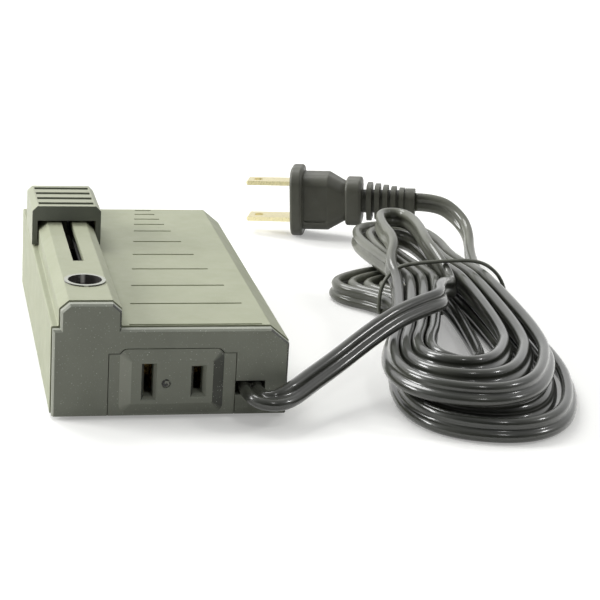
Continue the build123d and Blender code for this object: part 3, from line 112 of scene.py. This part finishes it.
# High turns: for each one the size of its near loop, and the reach and half width of its far loop. Their
# far loops all point to HIGH_AIM, and HIGH_TURNS turns their runs through the waist on the right and the
# left. The top loop, given by its reach and half width, lies over them and to their left.
HIGH_LOOPS = [(3.43, 60, 12.8), (2.33, 55, 9.2), (1.21, 50, 5.6)]
HIGH_AIM = 92
HIGH_TURNS = (5, 5)
TOP_LOOP = (50, 5.8)
TOP_AIM = 86
TOP_SHIFT = 5.6

# Low turns: how many, and the reach and half width of the first far loop, each with its step to the next.
# They fan out to the left behind the tie.
LOW_LOOPS = 4
LOW_REACH = (20.5, 4.3)
LOW_HALF = (4.9, 3.9)
LOW_AIM = 121
LOW_TURNS = (14.6, 10.3)

# Near loops: centre, half size and tilt of a loop of size 0, and what each further size adds to them
NEAR_CENTRE = np.array((87.5, -27.4))
NEAR_CENTRE_STEP = np.array((0.6, -1.5))
NEAR_HALF = np.array((7.4, 27.0))
NEAR_HALF_STEP = np.array((3.95, 5.0))
NEAR_TILT = -18.9
NEAR_TILT_STEP = 0.84

# How far the high and the low near loops lie to the right, and how much further to the right they tilt
HIGH_LAY = (-2.6, -3.0)
LOW_LAY = (0.5, 1.5)

# Rise of a near loop's tip: HIGH_RISE less the loop's size in the high turns, DOWN_RISE in the loop that
# goes down from them to the low turns, and LOW_RISE there for every loop that lies further out
HIGH_RISE = 4.4
DOWN_RISE = 5.0
LOW_RISE = 1.2

# Control points of a near and a far loop of half width and reach 1
NEAR_SHAPE = np.array([
    (-1.0, 0.16), (-1.02, -0.38), (-0.84, -0.78), (-0.38, -1.0),
    (0.38, -1.0), (0.84, -0.78), (1.02, -0.38), (1.0, 0.16),
])
FAR_SHAPE = np.array([
    (0.34, -0.86), (0.74, -1.06), (1.0, -0.72), (1.0, 0.72), (0.74, 1.06), (0.34, 0.86),
])

# Lean of the cord's width from upright on the way up: distances along the cord, each with its lean. From
# the climb's end the hank's lean takes over within a stretch, and it fades out in the stretch to the plug.
CLIMB_LEAN = np.array([(0, 90), (6, 84), (18, 38), (80, 32), (100, 10)])
CLIMB_END = 110.0
CLIMB_TO_HANK = 50.0
HANK_TO_PLUG = 120.0

# Lean in the hank, what the near loops add to it, from NEAR_LEAN_START forwards more and more over a
# stretch, and a slow sway, with its phase in radians
HANK_LEAN = 6.0
NEAR_LEAN = 22.0
NEAR_LEAN_START = 5.0
NEAR_LEAN_STRETCH = 50.0
SWAY = 5.0
SWAY_LENGTH = 310.0
SWAY_PHASE = 0.6

# Tie round the waist: its middle, its turn, half its thickness and half its width, and its outline
# across the hank from the lower left corner over the top
TIE_PLACE = (95.6, 24.6)
TIE_TURN = 8.0
TIE_HALF = (0.55, 0.8)
TIE_OUTLINE = np.array([
    (-20.6, 0.7), (-21.2, 5.5), (-20.4, 11.5), (-16.5, 16.4), (-8.0, 17.4), (2.0, 17.6), (11.5, 17.2),
    (17.6, 13.4), (20.9, 8.2), (21.4, 3.6), (20.2, 0.7), (10.0, 0.7), (0.0, 0.7), (-10.0, 0.7),
])

# Its mesh: how often the outline's corners are cut, how much of each side a cut takes, and the points
# round its section
TIE_CUTS = 4
TIE_CUT_SHARE = 0.25
TIE_SIDES = 12

# The cord behind the tie is paler, as dust and as painted sheen: where along the case that starts and where
# it is full
DUST_SHEEN_START = 12.0
DUST_SHEEN_FULL = 40.0

# Round window: its middle across the case, and the edges of its painted reflection, a bright band in its
# well, from there
WINDOW_X = -20.7
GLINT_LEFT = (-0.9, -0.4)
GLINT_RIGHT = (0.1, 0.6)

# Rough round spot between the outlet's slots, painted dark as the shade of a hollow: its middle across the
# case and up, and how far out it is full
DIMPLE = (-1.5, 9.9)
DIMPLE_RADIUS = 1.25
DIMPLE_FULL = 0.8

# Moulded plastic: how many clouds and grains there are to a metre, and how deep the grain is
CLOUDS = 90
GRAINS = 2600
GRAIN_DEPTH = 0.1

# The part of a noise's range that holds most of it, for marks and for clouds
MARKS_RANGE = (0.3, 0.7)
CLOUDS_RANGE = (0.32, 0.68)

# White of the floor and the world as the camera sees it, the floor's colours where it is seen and where
# it only throws light back, and how much it glows where it is seen
WHITE = (1.0, 1.0, 0.985)
FLOOR_SEEN = (0.72, 0.722, 0.705)
FLOOR_LIT = (0.3, 0.3, 0.28)
FLOOR_GLOW = 0.3

# The world's brightness before the dimmer and behind it
WORLD_BEFORE = 0.05
WORLD_BEHIND = 1.0


def unit(vectors):
    """Each vector divided by its length."""
    return vectors / np.linalg.norm(vectors, axis=-1, keepdims=True)


def turned(points, degrees):
    """The flat points turned about the upright axis."""
    angle = math.radians(degrees)
    spin = np.array([[math.cos(angle), -math.sin(angle)], [math.sin(angle), math.cos(angle)]])
    return np.asarray(points, float) @ spin.T


def add_object(name, data):
    """A new object at the origin, linked to the scene."""
    holder = bpy.data.objects.new(name, data)
    bpy.context.collection.objects.link(holder)
    return holder


def placed(right, up, back, place):
    """The matrix of an object at place whose own axes point right, up and back."""
    matrix = np.eye(4)
    matrix[:3] = np.column_stack([right, up, back, place])
    return Matrix(matrix.tolist())


def smooth_piece(name, points, faces):
    """A smooth-shaded mesh piece with these points in metres and these faces."""
    mesh = bpy.data.meshes.new(name)
    mesh.from_pydata(points.reshape(-1, 3).tolist(), [], faces)
    mesh.polygons.foreach_set("use_smooth", np.ones(len(faces), dtype=bool))
    return add_object(name, mesh)


# Camera
def photograph_camera():
    """The camera looks along its yaw and pitch, and its right and up are turned by the roll about that."""
    pitch, yaw, roll = (math.radians(angle) for angle in (CAMERA_PITCH, CAMERA_YAW, CAMERA_ROLL))
    ahead = np.array([
        math.sin(yaw) * math.cos(pitch), math.cos(yaw) * math.cos(pitch), -math.sin(pitch),
    ])
    level_right = np.array([math.cos(yaw), -math.sin(yaw), 0.0])
    level_up = np.cross(level_right, ahead)
    right = math.cos(roll) * level_right + math.sin(roll) * level_up
    up = -math.sin(roll) * level_right + math.cos(roll) * level_up
    camera = add_object("camera", bpy.data.cameras.new("camera"))
    camera.matrix_world = placed(right, up, -ahead, np.array(CAMERA_PLACE) * MM)
    camera.data.lens = CAMERA_LENS
    camera.data.sensor_width = CAMERA_SENSOR
    camera.data.clip_start = CAMERA_NEAREST * MM
    return camera


# Cord and tie
def near_loop(size, first, last, rise, lay):
    """Points round a near loop from its left side: the height goes evenly from first to last, with its tip
    raised further, as each loop rests on the next one out. Its lay is how far it lies to the right, and
    how many degrees its tip points further to the right."""
    centre = NEAR_CENTRE + NEAR_CENTRE_STEP * size + (lay[0], 0)
    tilt = NEAR_TILT_STEP * size + NEAR_TILT + lay[1]
    flat = turned(NEAR_SHAPE * (NEAR_HALF + NEAR_HALF_STEP * size), tilt) + centre
    way = np.linspace(0, 1, len(flat))
    return np.column_stack([flat, first + (last - first) * way + rise * np.sin(np.pi * way)])


def far_loop(aim, reach, half, shift, heights, gaps, turns):
    """Points of a far loop, from the right of the waist round its tip to the left of the waist. The loop is
    the far shape at its reach and half width, shifted sideways and turned to its aim. On each side it joins
    a run through the waist at that side's gap from the middle and with that side's turn. The heights are
    spread evenly over the points."""
    loop = turned(FAR_SHAPE * (reach, half) + (0, shift), aim) + WAIST
    right = turned([(gaps[0], -WAIST_RUN), (gaps[0], WAIST_RUN)], turns[0]) + WAIST
    left = turned([(-gaps[1], WAIST_RUN), (-gaps[1], -WAIST_RUN)], turns[1]) + WAIST
    flat = np.vstack([right, loop, left])
    along = np.linspace(0, len(heights) - 1, len(flat))
    return np.column_stack([flat, np.interp(along, np.arange(len(heights)), heights)])


def high_turns():
    """The top loop, the high turns from the outermost inwards, and the near loop down to the low turns."""
    level = [HIGH + HIGH_LIFT, HIGH, HIGH, HIGH + HIGH_LIFT]
    over = [HIGH + HIGH_LIFT, OVER, OVER, OVER, OVER, HIGH + HIGH_LIFT]
    gaps = [WAIST_INNER + HIGH_WAIST_STEP * step for step in range(len(HIGH_LOOPS), -1, -1)]
    stretches = [far_loop(TOP_AIM, *TOP_LOOP, TOP_SHIFT, over, (gaps[-1], gaps[0]), HIGH_TURNS)]
    for (size, reach, half), waist in zip(HIGH_LOOPS, zip(gaps, gaps[1:])):
        stretches.append(near_loop(size, HIGH, HIGH, HIGH_RISE - size, HIGH_LAY))
        stretches.append(far_loop(HIGH_AIM, reach, half, 0, level, waist, HIGH_TURNS))
    return stretches + [near_loop(0, HIGH, LOW, DOWN_RISE, HIGH_LAY)]


def low_turns():
    """The low turns from the innermost outwards. Each far loop goes without its last point but one, so that
    the cord bends gently into the waist there."""
    level = [LOW + LOW_LIFT, LOW, LOW, LOW + LOW_LIFT]
    stretches = []
    for turn in range(LOW_LOOPS):
        reach, half = (first + step * turn for first, step in (LOW_REACH, LOW_HALF))
        waist = [WAIST_INNER + step * turn for step in LOW_WAIST_STEPS]
        fan = far_loop(LOW_AIM, reach, half, 0, level, waist, LOW_TURNS)
        stretches.append(np.delete(fan, -2, axis=0))
        stretches.append(near_loop(turn + 1, LOW, LOW, LOW_RISE * (LOW_LOOPS - 1 - turn), LOW_LAY))
    return stretches


def cord_route():
    """Every point that the cord's line follows, from the case to the plug, in millimetres."""
    return np.vstack([ROUTE_TO_HANK, *high_turns(), *low_turns(), ROUTE_TO_PLUG])


def smooth_line(points):
    """The NURBS spline with these control points in metres, read back as an array of points."""
    curve = bpy.data.curves.new("cord_line", "CURVE")
    curve.dimensions = "3D"
    spline = curve.splines.new("NURBS")
    spline.points.add(len(points) - 1)
    spline.points.foreach_set("co", np.column_stack([points, np.ones(len(points))]).ravel())
    spline.order_u = 3
    spline.use_endpoint_u = True
    spline.resolution_u = 16
    holder = add_object("cord_line", curve)
    bpy.context.view_layer.update()
    mesh = bpy.data.meshes.new_from_object(holder)
    line = np.empty(len(mesh.vertices) * 3)
    mesh.vertices.foreach_get("co", line)
    bpy.data.objects.remove(holder)
    bpy.data.curves.remove(curve)
    bpy.data.meshes.remove(mesh)
    return line.reshape(-1, 3)


def even_line(line, step):
    """The line's points set again at an even step, and their distances along it."""
    travel = np.concatenate([[0], np.cumsum(np.linalg.norm(np.diff(line, axis=0), axis=1))])
    at = np.linspace(0, travel[-1], int(travel[-1] / step) + 1)
    return np.column_stack([np.interp(at, travel, line[:, axis]) for axis in range(3)]), at


def cord_section():
    """Outline of the flat twin cord, in metres. Its points lie across the width at the cosine of even
    angles, and half the thickness there is the height of a conductor's arc, but between the conductors'
    middles no less than half the web."""
    angle = np.arange(CORD_SECTION) / CORD_SECTION * TAU
    radius = CORD_THICKNESS / 2
    core = CORD_WIDTH / 2 - radius
    side = CORD_WIDTH / 2 * np.cos(angle)
    arc = np.sqrt(np.maximum(radius**2 - (np.abs(side) - core) ** 2, 0))
    half = np.where(np.abs(side) < core, np.maximum(arc, CORD_WEB / 2), arc)
    upper = np.arange(CORD_SECTION) <= CORD_SECTION // 2
    return np.column_stack([side, np.where(upper, half, -half)]) * MM


def lean_along(line, at):
    """Angle of the cord's width from upright, in radians, at each point of its line: flat as it leaves the
    case, then leaning back on the way up, and nearly on edge in the hank, where the loops lean in towards
    their middle the more the nearer they are."""
    climb = np.interp(at, CLIMB_LEAN[:, 0] * MM, CLIMB_LEAN[:, 1])
    near = np.clip((NEAR_LEAN_START * MM - line[:, 1]) / (NEAR_LEAN_STRETCH * MM), 0, 1)
    sway = SWAY * np.sin(at * TAU / (SWAY_LENGTH * MM) + SWAY_PHASE)
    in_hank = np.clip((at - CLIMB_END * MM) / (CLIMB_TO_HANK * MM), 0, 1)
    before_plug = np.clip((at[-1] - at) / (HANK_TO_PLUG * MM), 0, 1)
    hank = HANK_LEAN + NEAR_LEAN * near + sway
    return np.radians(climb * (1 - in_hank) + hank * in_hank * before_plug)


def cord_rings(line, at):
    """The twin section carried along the line: its width leans from upright by the lean there, about the
    line's own direction, and its thickness is square to both."""
    along = unit(np.gradient(line, axis=0))
    sideways = unit(np.cross([0.0, 0.0, 1.0], along))
    upright = np.cross(along, sideways)
    lean = lean_along(line, at)[:, None]
    wide = np.cos(lean) * upright + np.sin(lean) * sideways
    thin = np.cross(along, wide)
    section = cord_section()
    return line[:, None] + section[:, :1] * wide[:, None] + section[:, 1:] * thin[:, None]


def flat_cord(rings, length):
    """The cord's mesh: quads from ring to ring, and a cap on each end. Its UV map runs along the cord by
    its length and once round it."""
    rows, columns = rings.shape[:2]
    row, column = np.divmod(np.arange((rows - 1) * columns), columns)
    row = row[:, None] + (0, 0, 1, 1)
    column = column[:, None] + (0, 1, 1, 0)
    quads = row * columns + column % columns
    ring = np.arange(columns)
    caps = [ring[::-1].tolist(), (ring + (rows - 1) * columns).tolist()]
    piece = smooth_piece("flat_cord", rings, quads.tolist() + caps)
    along = np.concatenate([row.ravel(), 0 * ring, 0 * ring + rows - 1]) / (rows - 1)
    around = np.concatenate([column.ravel(), ring[::-1], ring]) / columns
    uv = np.column_stack([along * length / (CORD_UV_LENGTH * MM), around])
    piece.data.uv_layers.new(name="UVMap").data.foreach_set("uv", uv.ravel())
    return piece


def tie_band():
    """The tie: its outline rounded by cutting its corners, each cut taking a share of both sides, and swept
    with an oval, half the thickness in the outline's plane and half the width across it."""
    loop = TIE_OUTLINE
    keep = 1 - TIE_CUT_SHARE
    for _ in range(TIE_CUTS):
        after = np.roll(loop, -1, axis=0)
        cut = [keep * loop + TIE_CUT_SHARE * after, TIE_CUT_SHARE * loop + keep * after]
        loop = np.stack(cut, axis=1).reshape(-1, 2)
    along = unit(np.roll(loop, -1, axis=0) - np.roll(loop, 1, axis=0))
    outward = np.column_stack([-along[:, 1], along[:, 0]])
    angle = np.arange(TIE_SIDES) / TIE_SIDES * TAU
    flat = loop[:, None] + TIE_HALF[0] * np.cos(angle)[:, None] * outward[:, None]
    across = np.broadcast_to(TIE_HALF[1] * np.sin(angle), flat.shape[:2])
    plan = turned(np.stack([flat[..., 0], across], axis=-1).reshape(-1, 2), TIE_TURN) + TIE_PLACE
    index = np.arange(len(plan)).reshape(flat.shape[:2])
    after = np.roll(index, -1, axis=0)
    quads = np.stack([index, after, np.roll(after, -1, axis=1), np.roll(index, -1, axis=1)], axis=-1)
    points = np.column_stack([plan, flat[..., 1].ravel()]) * MM
    return smooth_piece("tie_band", points, quads.reshape(-1, 4).tolist())


# Materials, each from its own nodes
def new_material(name):
    """A node material, its Principled shader and its tree."""
    material = bpy.data.materials.new(name)
    material.use_nodes = True
    tree = material.node_tree
    return material, tree.nodes["Principled BSDF"], tree


def noise(tree, scale, detail=4, coordinate="Object", stretch=None):
    """A noise on the piece's own coordinates, stretched along an axis where stretch is given."""
    source = tree.nodes.new("ShaderNodeTexCoord").outputs[coordinate]
    if stretch:
        mapping = tree.nodes.new("ShaderNodeMapping")
        mapping.inputs["Scale"].default_value = stretch
        tree.links.new(source, mapping.inputs["Vector"])
        source = mapping.outputs["Vector"]
    texture = tree.nodes.new("ShaderNodeTexNoise")
    texture.inputs["Scale"].default_value = scale
    texture.inputs["Detail"].default_value = detail
    tree.links.new(source, texture.inputs["Vector"])
    return texture.outputs["Fac"]


def axes(tree, coordinate):
    """The coordinate's X, Y and Z at each point of the surface."""
    node = tree.nodes.new("ShaderNodeSeparateXYZ")
    source = tree.nodes.new("ShaderNodeTexCoord").outputs[coordinate]
    tree.links.new(source, node.inputs["Vector"])
    return node.outputs


def spread(tree, value, low, high, out_low=0, out_high=1):
    """The value from low to high stretched to the range out_low to out_high."""
    node = tree.nodes.new("ShaderNodeMapRange")
    limits = {"From Min": low, "From Max": high, "To Min": out_low, "To Max": out_high}
    for name, number in limits.items():
        node.inputs[name].default_value = number
    tree.links.new(value, node.inputs["Value"])
    return node.outputs["Result"]


def clouds(tree, scale=CLOUDS):
    """Soft clouds from 0 to 1."""
    return spread(tree, noise(tree, scale, 5), *CLOUDS_RANGE)


def calculated(tree, operation, first, second):
    """The operation's result for two values."""
    node = tree.nodes.new("ShaderNodeMath")
    node.operation = operation
    tree.links.new(first, node.inputs[0])
    tree.links.new(second, node.inputs[1])
    return node.outputs[0]


def blend_colours(tree, share, first, second):
    """Colour going from first to second with share; either may be an output or an RGB triple."""
    node = tree.nodes.new("ShaderNodeMix")
    node.data_type = "RGBA"
    tree.links.new(share, node.inputs["Factor"])
    sockets = [socket for socket in node.inputs if socket.type == "RGBA"]
    for socket, colour in zip(sockets, (first, second)):
        if isinstance(colour, tuple):
            socket.default_value = (*colour, 1)
        else:
            tree.links.new(colour, socket)
    return next(socket for socket in node.outputs if socket.type == "RGBA")


def roughened(tree, shader, marks, smooth, rough, limits=MARKS_RANGE):
    """Sets the shader's roughness: it goes from smooth to rough as the marks go between the limits."""
    tree.links.new(spread(tree, marks, *limits, smooth, rough), shader.inputs["Roughness"])


def bumped(tree, shader, height, strength, depth=GRAIN_DEPTH):
    """Sets the shader's normal from a height of this depth in millimetres."""
    node = tree.nodes.new("ShaderNodeBump")
    node.inputs["Strength"].default_value = strength
    node.inputs["Distance"].default_value = depth * MM
    tree.links.new(height, node.inputs["Height"])
    tree.links.new(node.outputs["Normal"], shader.inputs["Normal"])


def coated(shader, weight, rough):
    """Gives the shader a clear gloss."""
    shader.inputs["Coat Weight"].default_value = weight
    shader.inputs["Coat Roughness"].default_value = rough


def moulded(name, dark, light, rough=(0.45, 0.6), grain=GRAINS, cloud=CLOUDS, bump=0.25):
    """Moulded plastic: cloudy colour between dark and light, and a fine grain."""
    material, shader, tree = new_material(name)
    tree.links.new(blend_colours(tree, clouds(tree, cloud), dark, light), shader.inputs["Base Color"])
    roughened(tree, shader, noise(tree, cloud * 3), *rough)
    bumped(tree, shader, noise(tree, grain, 2), bump)
    return material


def front_plastic():
    """The end cover's plastic, with pale worn specks. The bevels of the outlet's boss carry painted shade
    on its right and a painted highlight on its left: the share is how far a face turns that way times how
    far it turns to the front. The rough spot between the slots, found by the distance from its middle, is
    mottled with a near-black pit colour that is painted shade of its hollow."""
    right_bevel_shade, left_bevel_highlight, worn = (0.07, 0.074, 0.062), (0.42, 0.435, 0.37), (0.8, 0.81, 0.76)
    pit_shade, rim = (0.02, 0.02, 0.02), (0.3, 0.31, 0.26)
    material, shader, tree = new_material("front_plastic")
    colour = blend_colours(tree, clouds(tree), (0.27, 0.284, 0.235), (0.3, 0.315, 0.262))

    # Painted shade on the boss's bevels that turn to the right, a painted highlight on those that turn to
    # the left
    normal = axes(tree, "Normal")
    to_front = spread(tree, normal["Y"], -0.2, -0.5)
    right_shade_share = calculated(tree, "MULTIPLY", spread(tree, normal["X"], 0.15, 0.35), to_front)
    left_highlight_share = calculated(tree, "MULTIPLY", spread(tree, normal["X"], -0.15, -0.35), to_front)
    colour = blend_colours(tree, right_shade_share, colour, right_bevel_shade)
    colour = blend_colours(tree, left_highlight_share, colour, left_bevel_highlight)

    # Spot between the slots: a near-black pit colour, painted shade of a hollow, mottled with a paler rim
    flat = tree.nodes.new("ShaderNodeMapping")
    flat.inputs["Scale"].default_value = (1, 0, 1)
    tree.links.new(tree.nodes.new("ShaderNodeTexCoord").outputs["Object"], flat.inputs["Vector"])
    away = tree.nodes.new("ShaderNodeVectorMath")
    away.operation = "DISTANCE"
    away.inputs[1].default_value = (DIMPLE[0] * MM, 0, DIMPLE[1] * MM)
    tree.links.new(flat.outputs["Vector"], away.inputs[0])
    full, edge = DIMPLE_FULL * DIMPLE_RADIUS * MM, DIMPLE_RADIUS * MM
    in_dimple = spread(tree, away.outputs["Value"], full, edge, 1, 0)
    mottled = blend_colours(tree, spread(tree, noise(tree, 1500, 1), 0.5, 0.62), pit_shade, rim)
    colour = blend_colours(tree, in_dimple, colour, mottled)

    specks = spread(tree, noise(tree, GRAINS, 1), 0.7, 0.76, 0, 0.8)
    tree.links.new(blend_colours(tree, specks, colour, worn), shader.inputs["Base Color"])
    roughened(tree, shader, noise(tree, CLOUDS * 3), 0.42, 0.56)
    bumped(tree, shader, noise(tree, GRAINS, 2), 0.35)
    return material


def knob_plastic():
    """The slider's plastic: its own colour on top, and painted shade on its faces to the front."""
    material, shader, tree = new_material("knob_plastic")
    cloudy = clouds(tree)
    top = blend_colours(tree, cloudy, (0.3, 0.315, 0.225), (0.33, 0.345, 0.25))
    # Painted shade: a darker copy of the plastic for the faces that turn to the front
    front = blend_colours(tree, cloudy, (0.12, 0.13, 0.108), (0.155, 0.167, 0.14))
    to_front = spread(tree, axes(tree, "Normal")["Y"], -0.35, -0.85)
    tree.links.new(blend_colours(tree, to_front, top, front), shader.inputs["Base Color"])
    roughened(tree, shader, cloudy, 0.42, 0.55, (0, 1))
    bumped(tree, shader, noise(tree, GRAINS, 2), 0.25)
    return material


def window_plastic(name, upper):
    """Glossy window plastic: its own colour on faces turned up, painted shade down the well, and there a
    bright band of painted reflection, standing in for the lamp's glass shining in it."""
    material, shader, tree = new_material(name)
    coated(shader, 0.8, 0.04)
    across = axes(tree, "Object")["X"]
    left = spread(tree, across, *((WINDOW_X + edge) * MM for edge in GLINT_LEFT))
    right = spread(tree, across, *((WINDOW_X + edge) * MM for edge in GLINT_RIGHT), 1, 0)
    # Painted shade down the well, and a painted reflection: a bright band across it between the glint's
    # edges
    dark = blend_colours(tree, noise(tree, 420, 3), (0.02, 0.019, 0.018), (0.1, 0.096, 0.09))
    well_shade_and_glint = blend_colours(tree, calculated(tree, "MULTIPLY", left, right), dark, (0.75, 0.74, 0.7))
    upward = spread(tree, axes(tree, "Normal")["Z"], 0.3, 0.6)
    tree.links.new(blend_colours(tree, upward, well_shade_and_glint, upper), shader.inputs["Base Color"])
    roughened(tree, shader, noise(tree, 300, 3), 0.15, 0.3)
    return material


def metal(name, colour, rough=(0.2, 0.35), stretch=(1, 1, 1)):
    """Bare metal with fine marks, drawn out along an axis where it was rolled or turned."""
    material, shader, tree = new_material(name)
    shader.inputs["Metallic"].default_value = 1
    marks = noise(tree, 900, 3, stretch=stretch)
    dull = tuple(0.8 * share for share in colour)
    bright = spread(tree, marks, *MARKS_RANGE)
    tree.links.new(blend_colours(tree, bright, dull, colour), shader.inputs["Base Color"])
    roughened(tree, shader, marks, *rough)
    bumped(tree, shader, marks, 0.15, GRAIN_DEPTH / 2)
    return material


def clear(name, colour, alpha=0.4):
    """Clear plastic or glass with a slight unevenness."""
    material, shader, tree = new_material(name)
    shader.inputs["Alpha"].default_value = alpha
    coated(shader, 0.6, 0.05)
    haze = noise(tree, 300, 3)
    pale = tuple(min(1, 1.25 * share) for share in colour)
    tree.links.new(blend_colours(tree, haze, colour, pale), shader.inputs["Base Color"])
    roughened(tree, shader, haze, 0.08, 0.16)
    return material


def vinyl_cord():
    """Glossy cord jacket: lengthwise drawing lines and slow waves in its colour, on the cord's own UV. The
    loops behind the tie are duller, and paler both from dust and from a painted sheen."""
    material, shader, tree = new_material("cord_vinyl")
    coated(shader, 0.7, 0.1)
    waves = spread(tree, noise(tree, 1, 3, "UV", (1.6, 3, 1)), *MARKS_RANGE)
    clean = blend_colours(tree, waves, (0.022, 0.024, 0.019), (0.05, 0.053, 0.041))
    # Paler colours behind the tie: dust and painted sheen together
    dusty_sheen = blend_colours(tree, waves, (0.075, 0.078, 0.058), (0.125, 0.13, 0.098))
    dust_and_sheen = spread(tree, axes(tree, "Object")["Y"], DUST_SHEEN_START * MM, DUST_SHEEN_FULL * MM)
    tree.links.new(blend_colours(tree, dust_and_sheen, clean, dusty_sheen), shader.inputs["Base Color"])
    roughened(tree, shader, dust_and_sheen, 0.3, 0.6, (0, 1))
    bumped(tree, shader, noise(tree, 1, 2, "UV", (0.25, 46, 1)), 0.35, 1.2 * GRAIN_DEPTH)
    return material


def paint(material, *names):
    """Gives CAD nodes or pieces one material in every slot."""
    for name in names:
        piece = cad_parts.get(name) or bpy.data.objects[name]
        piece.data.materials.clear()
        piece.data.materials.append(material)


# Floor, world and lamps
def seen_by(tree, *rays):
    """1 for a ray of any of these kinds, else 0: the largest of their shares."""
    path = tree.nodes.new("ShaderNodeLightPath").outputs
    share = path[rays[0]]
    for ray in rays[1:]:
        share = calculated(tree, "MAXIMUM", share, path[ray])
    return share


def white_floor():
    """The floor: white where it is looked at, also in reflections and through glass, and greyer for the
    light that it throws back."""
    corners = np.array([(-4.0, -4.0, 0.0), (4.0, -4.0, 0.0), (4.0, 6.0, 0.0), (-4.0, 6.0, 0.0)])
    floor = smooth_piece("floor", corners, [(0, 1, 2, 3)])
    material, shader, tree = new_material("floor_white")
    seen = seen_by(tree, "Is Camera Ray", "Is Glossy Ray", "Is Transmission Ray")
    tree.links.new(blend_colours(tree, seen, FLOOR_LIT, FLOOR_SEEN), shader.inputs["Base Color"])
    tree.links.new(blend_colours(tree, seen, (0.0, 0.0, 0.0), WHITE), shader.inputs["Emission Color"])
    shader.inputs["Emission Strength"].default_value = FLOOR_GLOW
    shader.inputs["Roughness"].default_value = 0.9
    shader.inputs["Specular IOR Level"].default_value = 0.0
    floor.data.materials.append(material)
    return floor


def studio_world():
    """The world: white to look at. As light and in reflections it goes from dim before the dimmer to
    bright behind it."""
    world = bpy.data.worlds.new("studio")
    world.use_nodes = True
    tree = world.node_tree
    seen = seen_by(tree, "Is Camera Ray", "Is Transmission Ray")
    light = spread(tree, axes(tree, "Generated")["Y"], -1, 1, WORLD_BEFORE, WORLD_BEHIND)
    tree.links.new(blend_colours(tree, seen, light, WHITE), tree.nodes["Background"].inputs["Color"])
    return world


def lamp(name, place, aim, size, power):
    """A round soft lamp at place, facing aim, in metres and watts."""
    light = bpy.data.lights.new(name, "AREA")
    light.shape = "DISK"
    light.size = size
    light.energy = power
    back = unit(np.array(place, float) - np.array(aim, float))
    right = unit(np.cross([0.0, 0.0, 1.0], back))
    add_object(name, light).matrix_world = placed(right, np.cross(back, right), back, place)


scene = bpy.context.scene
scene.view_settings.view_transform = "Standard"
scene.camera = photograph_camera()

line, at = even_line(smooth_line(cord_route() * MM), CORD_STEP * MM)
flex = flat_cord(cord_rings(line, at), at[-1])
tie = tie_band()

paint(moulded("case_plastic", (0.3, 0.317, 0.218), (0.33, 0.347, 0.244), (0.5, 0.62), bump=0.35),
      "top_cover", "bottom_plate")
paint(front_plastic(), "front_panel", "outlet_insert")
paint(knob_plastic(), "slider_knob")
paint(moulded("pad_foam", (0.03, 0.03, 0.028), (0.05, 0.05, 0.045), (0.8, 0.95), 1500, 60, 0.6),
      "base_pad")
paint(moulded("board_laminate", (0.35, 0.2, 0.07), (0.42, 0.26, 0.1)), "circuit_board")
paint(moulded("carbon_track", (0.02, 0.02, 0.02), (0.035, 0.035, 0.035)), "resistance_track")
paint(moulded("lever_plastic", (0.7, 0.68, 0.6), (0.78, 0.76, 0.68)), "pot_lever")
paint(moulded("package_plastic", (0.02, 0.02, 0.02), (0.03, 0.03, 0.03)), "triac")
paint(moulded("choke_core", (0.4, 0.13, 0.03), (0.5, 0.19, 0.06), (0.25, 0.4)), "choke")
paint(moulded("film_case", (0.3, 0.03, 0.02), (0.4, 0.05, 0.03), (0.2, 0.3)), "film_capacitor")
paint(moulded("resistor_body", (0.5, 0.36, 0.18), (0.6, 0.45, 0.24)), "resistors")
paint(moulded("trimmer_body", (0.03, 0.08, 0.3), (0.05, 0.11, 0.38)), "trimmer")
paint(window_plastic("bezel_plastic", (0.3, 0.315, 0.25)), "window_bezel")
paint(moulded("wire_black", (0.02, 0.02, 0.02), (0.03, 0.03, 0.03), (0.3, 0.4)),
      "wire_hot", "lamp_lead_left")
paint(moulded("wire_white", (0.7, 0.7, 0.66), (0.78, 0.78, 0.73), (0.3, 0.4)),
      "wire_neutral", "wire_outlet", "lamp_lead_right")
paint(moulded("plug_vinyl", (0.07, 0.071, 0.055), (0.09, 0.091, 0.072), (0.4, 0.55), 1800, 70, 0.3),
      "plug_body", "strain_relief")
paint(metal("zinc_steel", (0.6, 0.6, 0.58)),
      "case_screws", "board_screws", "pot_screws", "clamp_screws", "cord_clamp", "triac_screw")
paint(metal("contact_brass", (0.75, 0.58, 0.26), stretch=(1, 6, 1)),
      "hot_contact", "neutral_contact", "fuse_clips")
paint(metal("blade_brass", (0.86, 0.78, 0.48), (0.25, 0.4), (1, 8, 1)),
      "plug_blade_hot", "plug_blade_neutral")
paint(metal("sink_aluminium", (0.75, 0.75, 0.76), stretch=(8, 1, 1)), "heat_sink")
paint(metal("pot_can", (0.1, 0.1, 0.095), (0.35, 0.5), (1, 8, 1)), "slide_pot_can")
paint(clear("glass_bead", (0.75, 0.35, 0.2), 0.6), "diac")
paint(clear("fuse_glass", (0.85, 0.88, 0.86)), "fuse")
paint(window_plastic("lens_plastic", (0.05, 0.048, 0.045)), "indicator_lens")
paint(clear("neon_glass", (0.85, 0.6, 0.45), 0.5), "neon_lamp")
paint(vinyl_cord(), "flat_cord", "cord_lead_in")
paint(moulded("tie_plastic", (0.07, 0.074, 0.055), (0.1, 0.105, 0.08), (0.4, 0.55)), "tie_band")

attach(flex, "housing")
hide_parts("power_cord", "cord_hank", "plug_cord")
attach(tie, "housing")
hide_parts("cord_tie")

floor = white_floor()
scene.world = studio_world()
lamp("sky_panel", (-0.35, 0.75, 1.1), (0.03, 0.0, 0.0), 0.7, 10.0)
lamp("side_panel", (-1.1, 0.3, 0.5), (0.03, 0.0, 0.0), 0.6, 14.0)
lamp("front_window", (0.25, -0.75, 1.0), (0.06, 0.0, 0.0), 0.18, 1.2)
lamp("right_window", (0.85, -0.13, 0.6), (0.06, 0.0, 0.0), 0.15, 1.5)
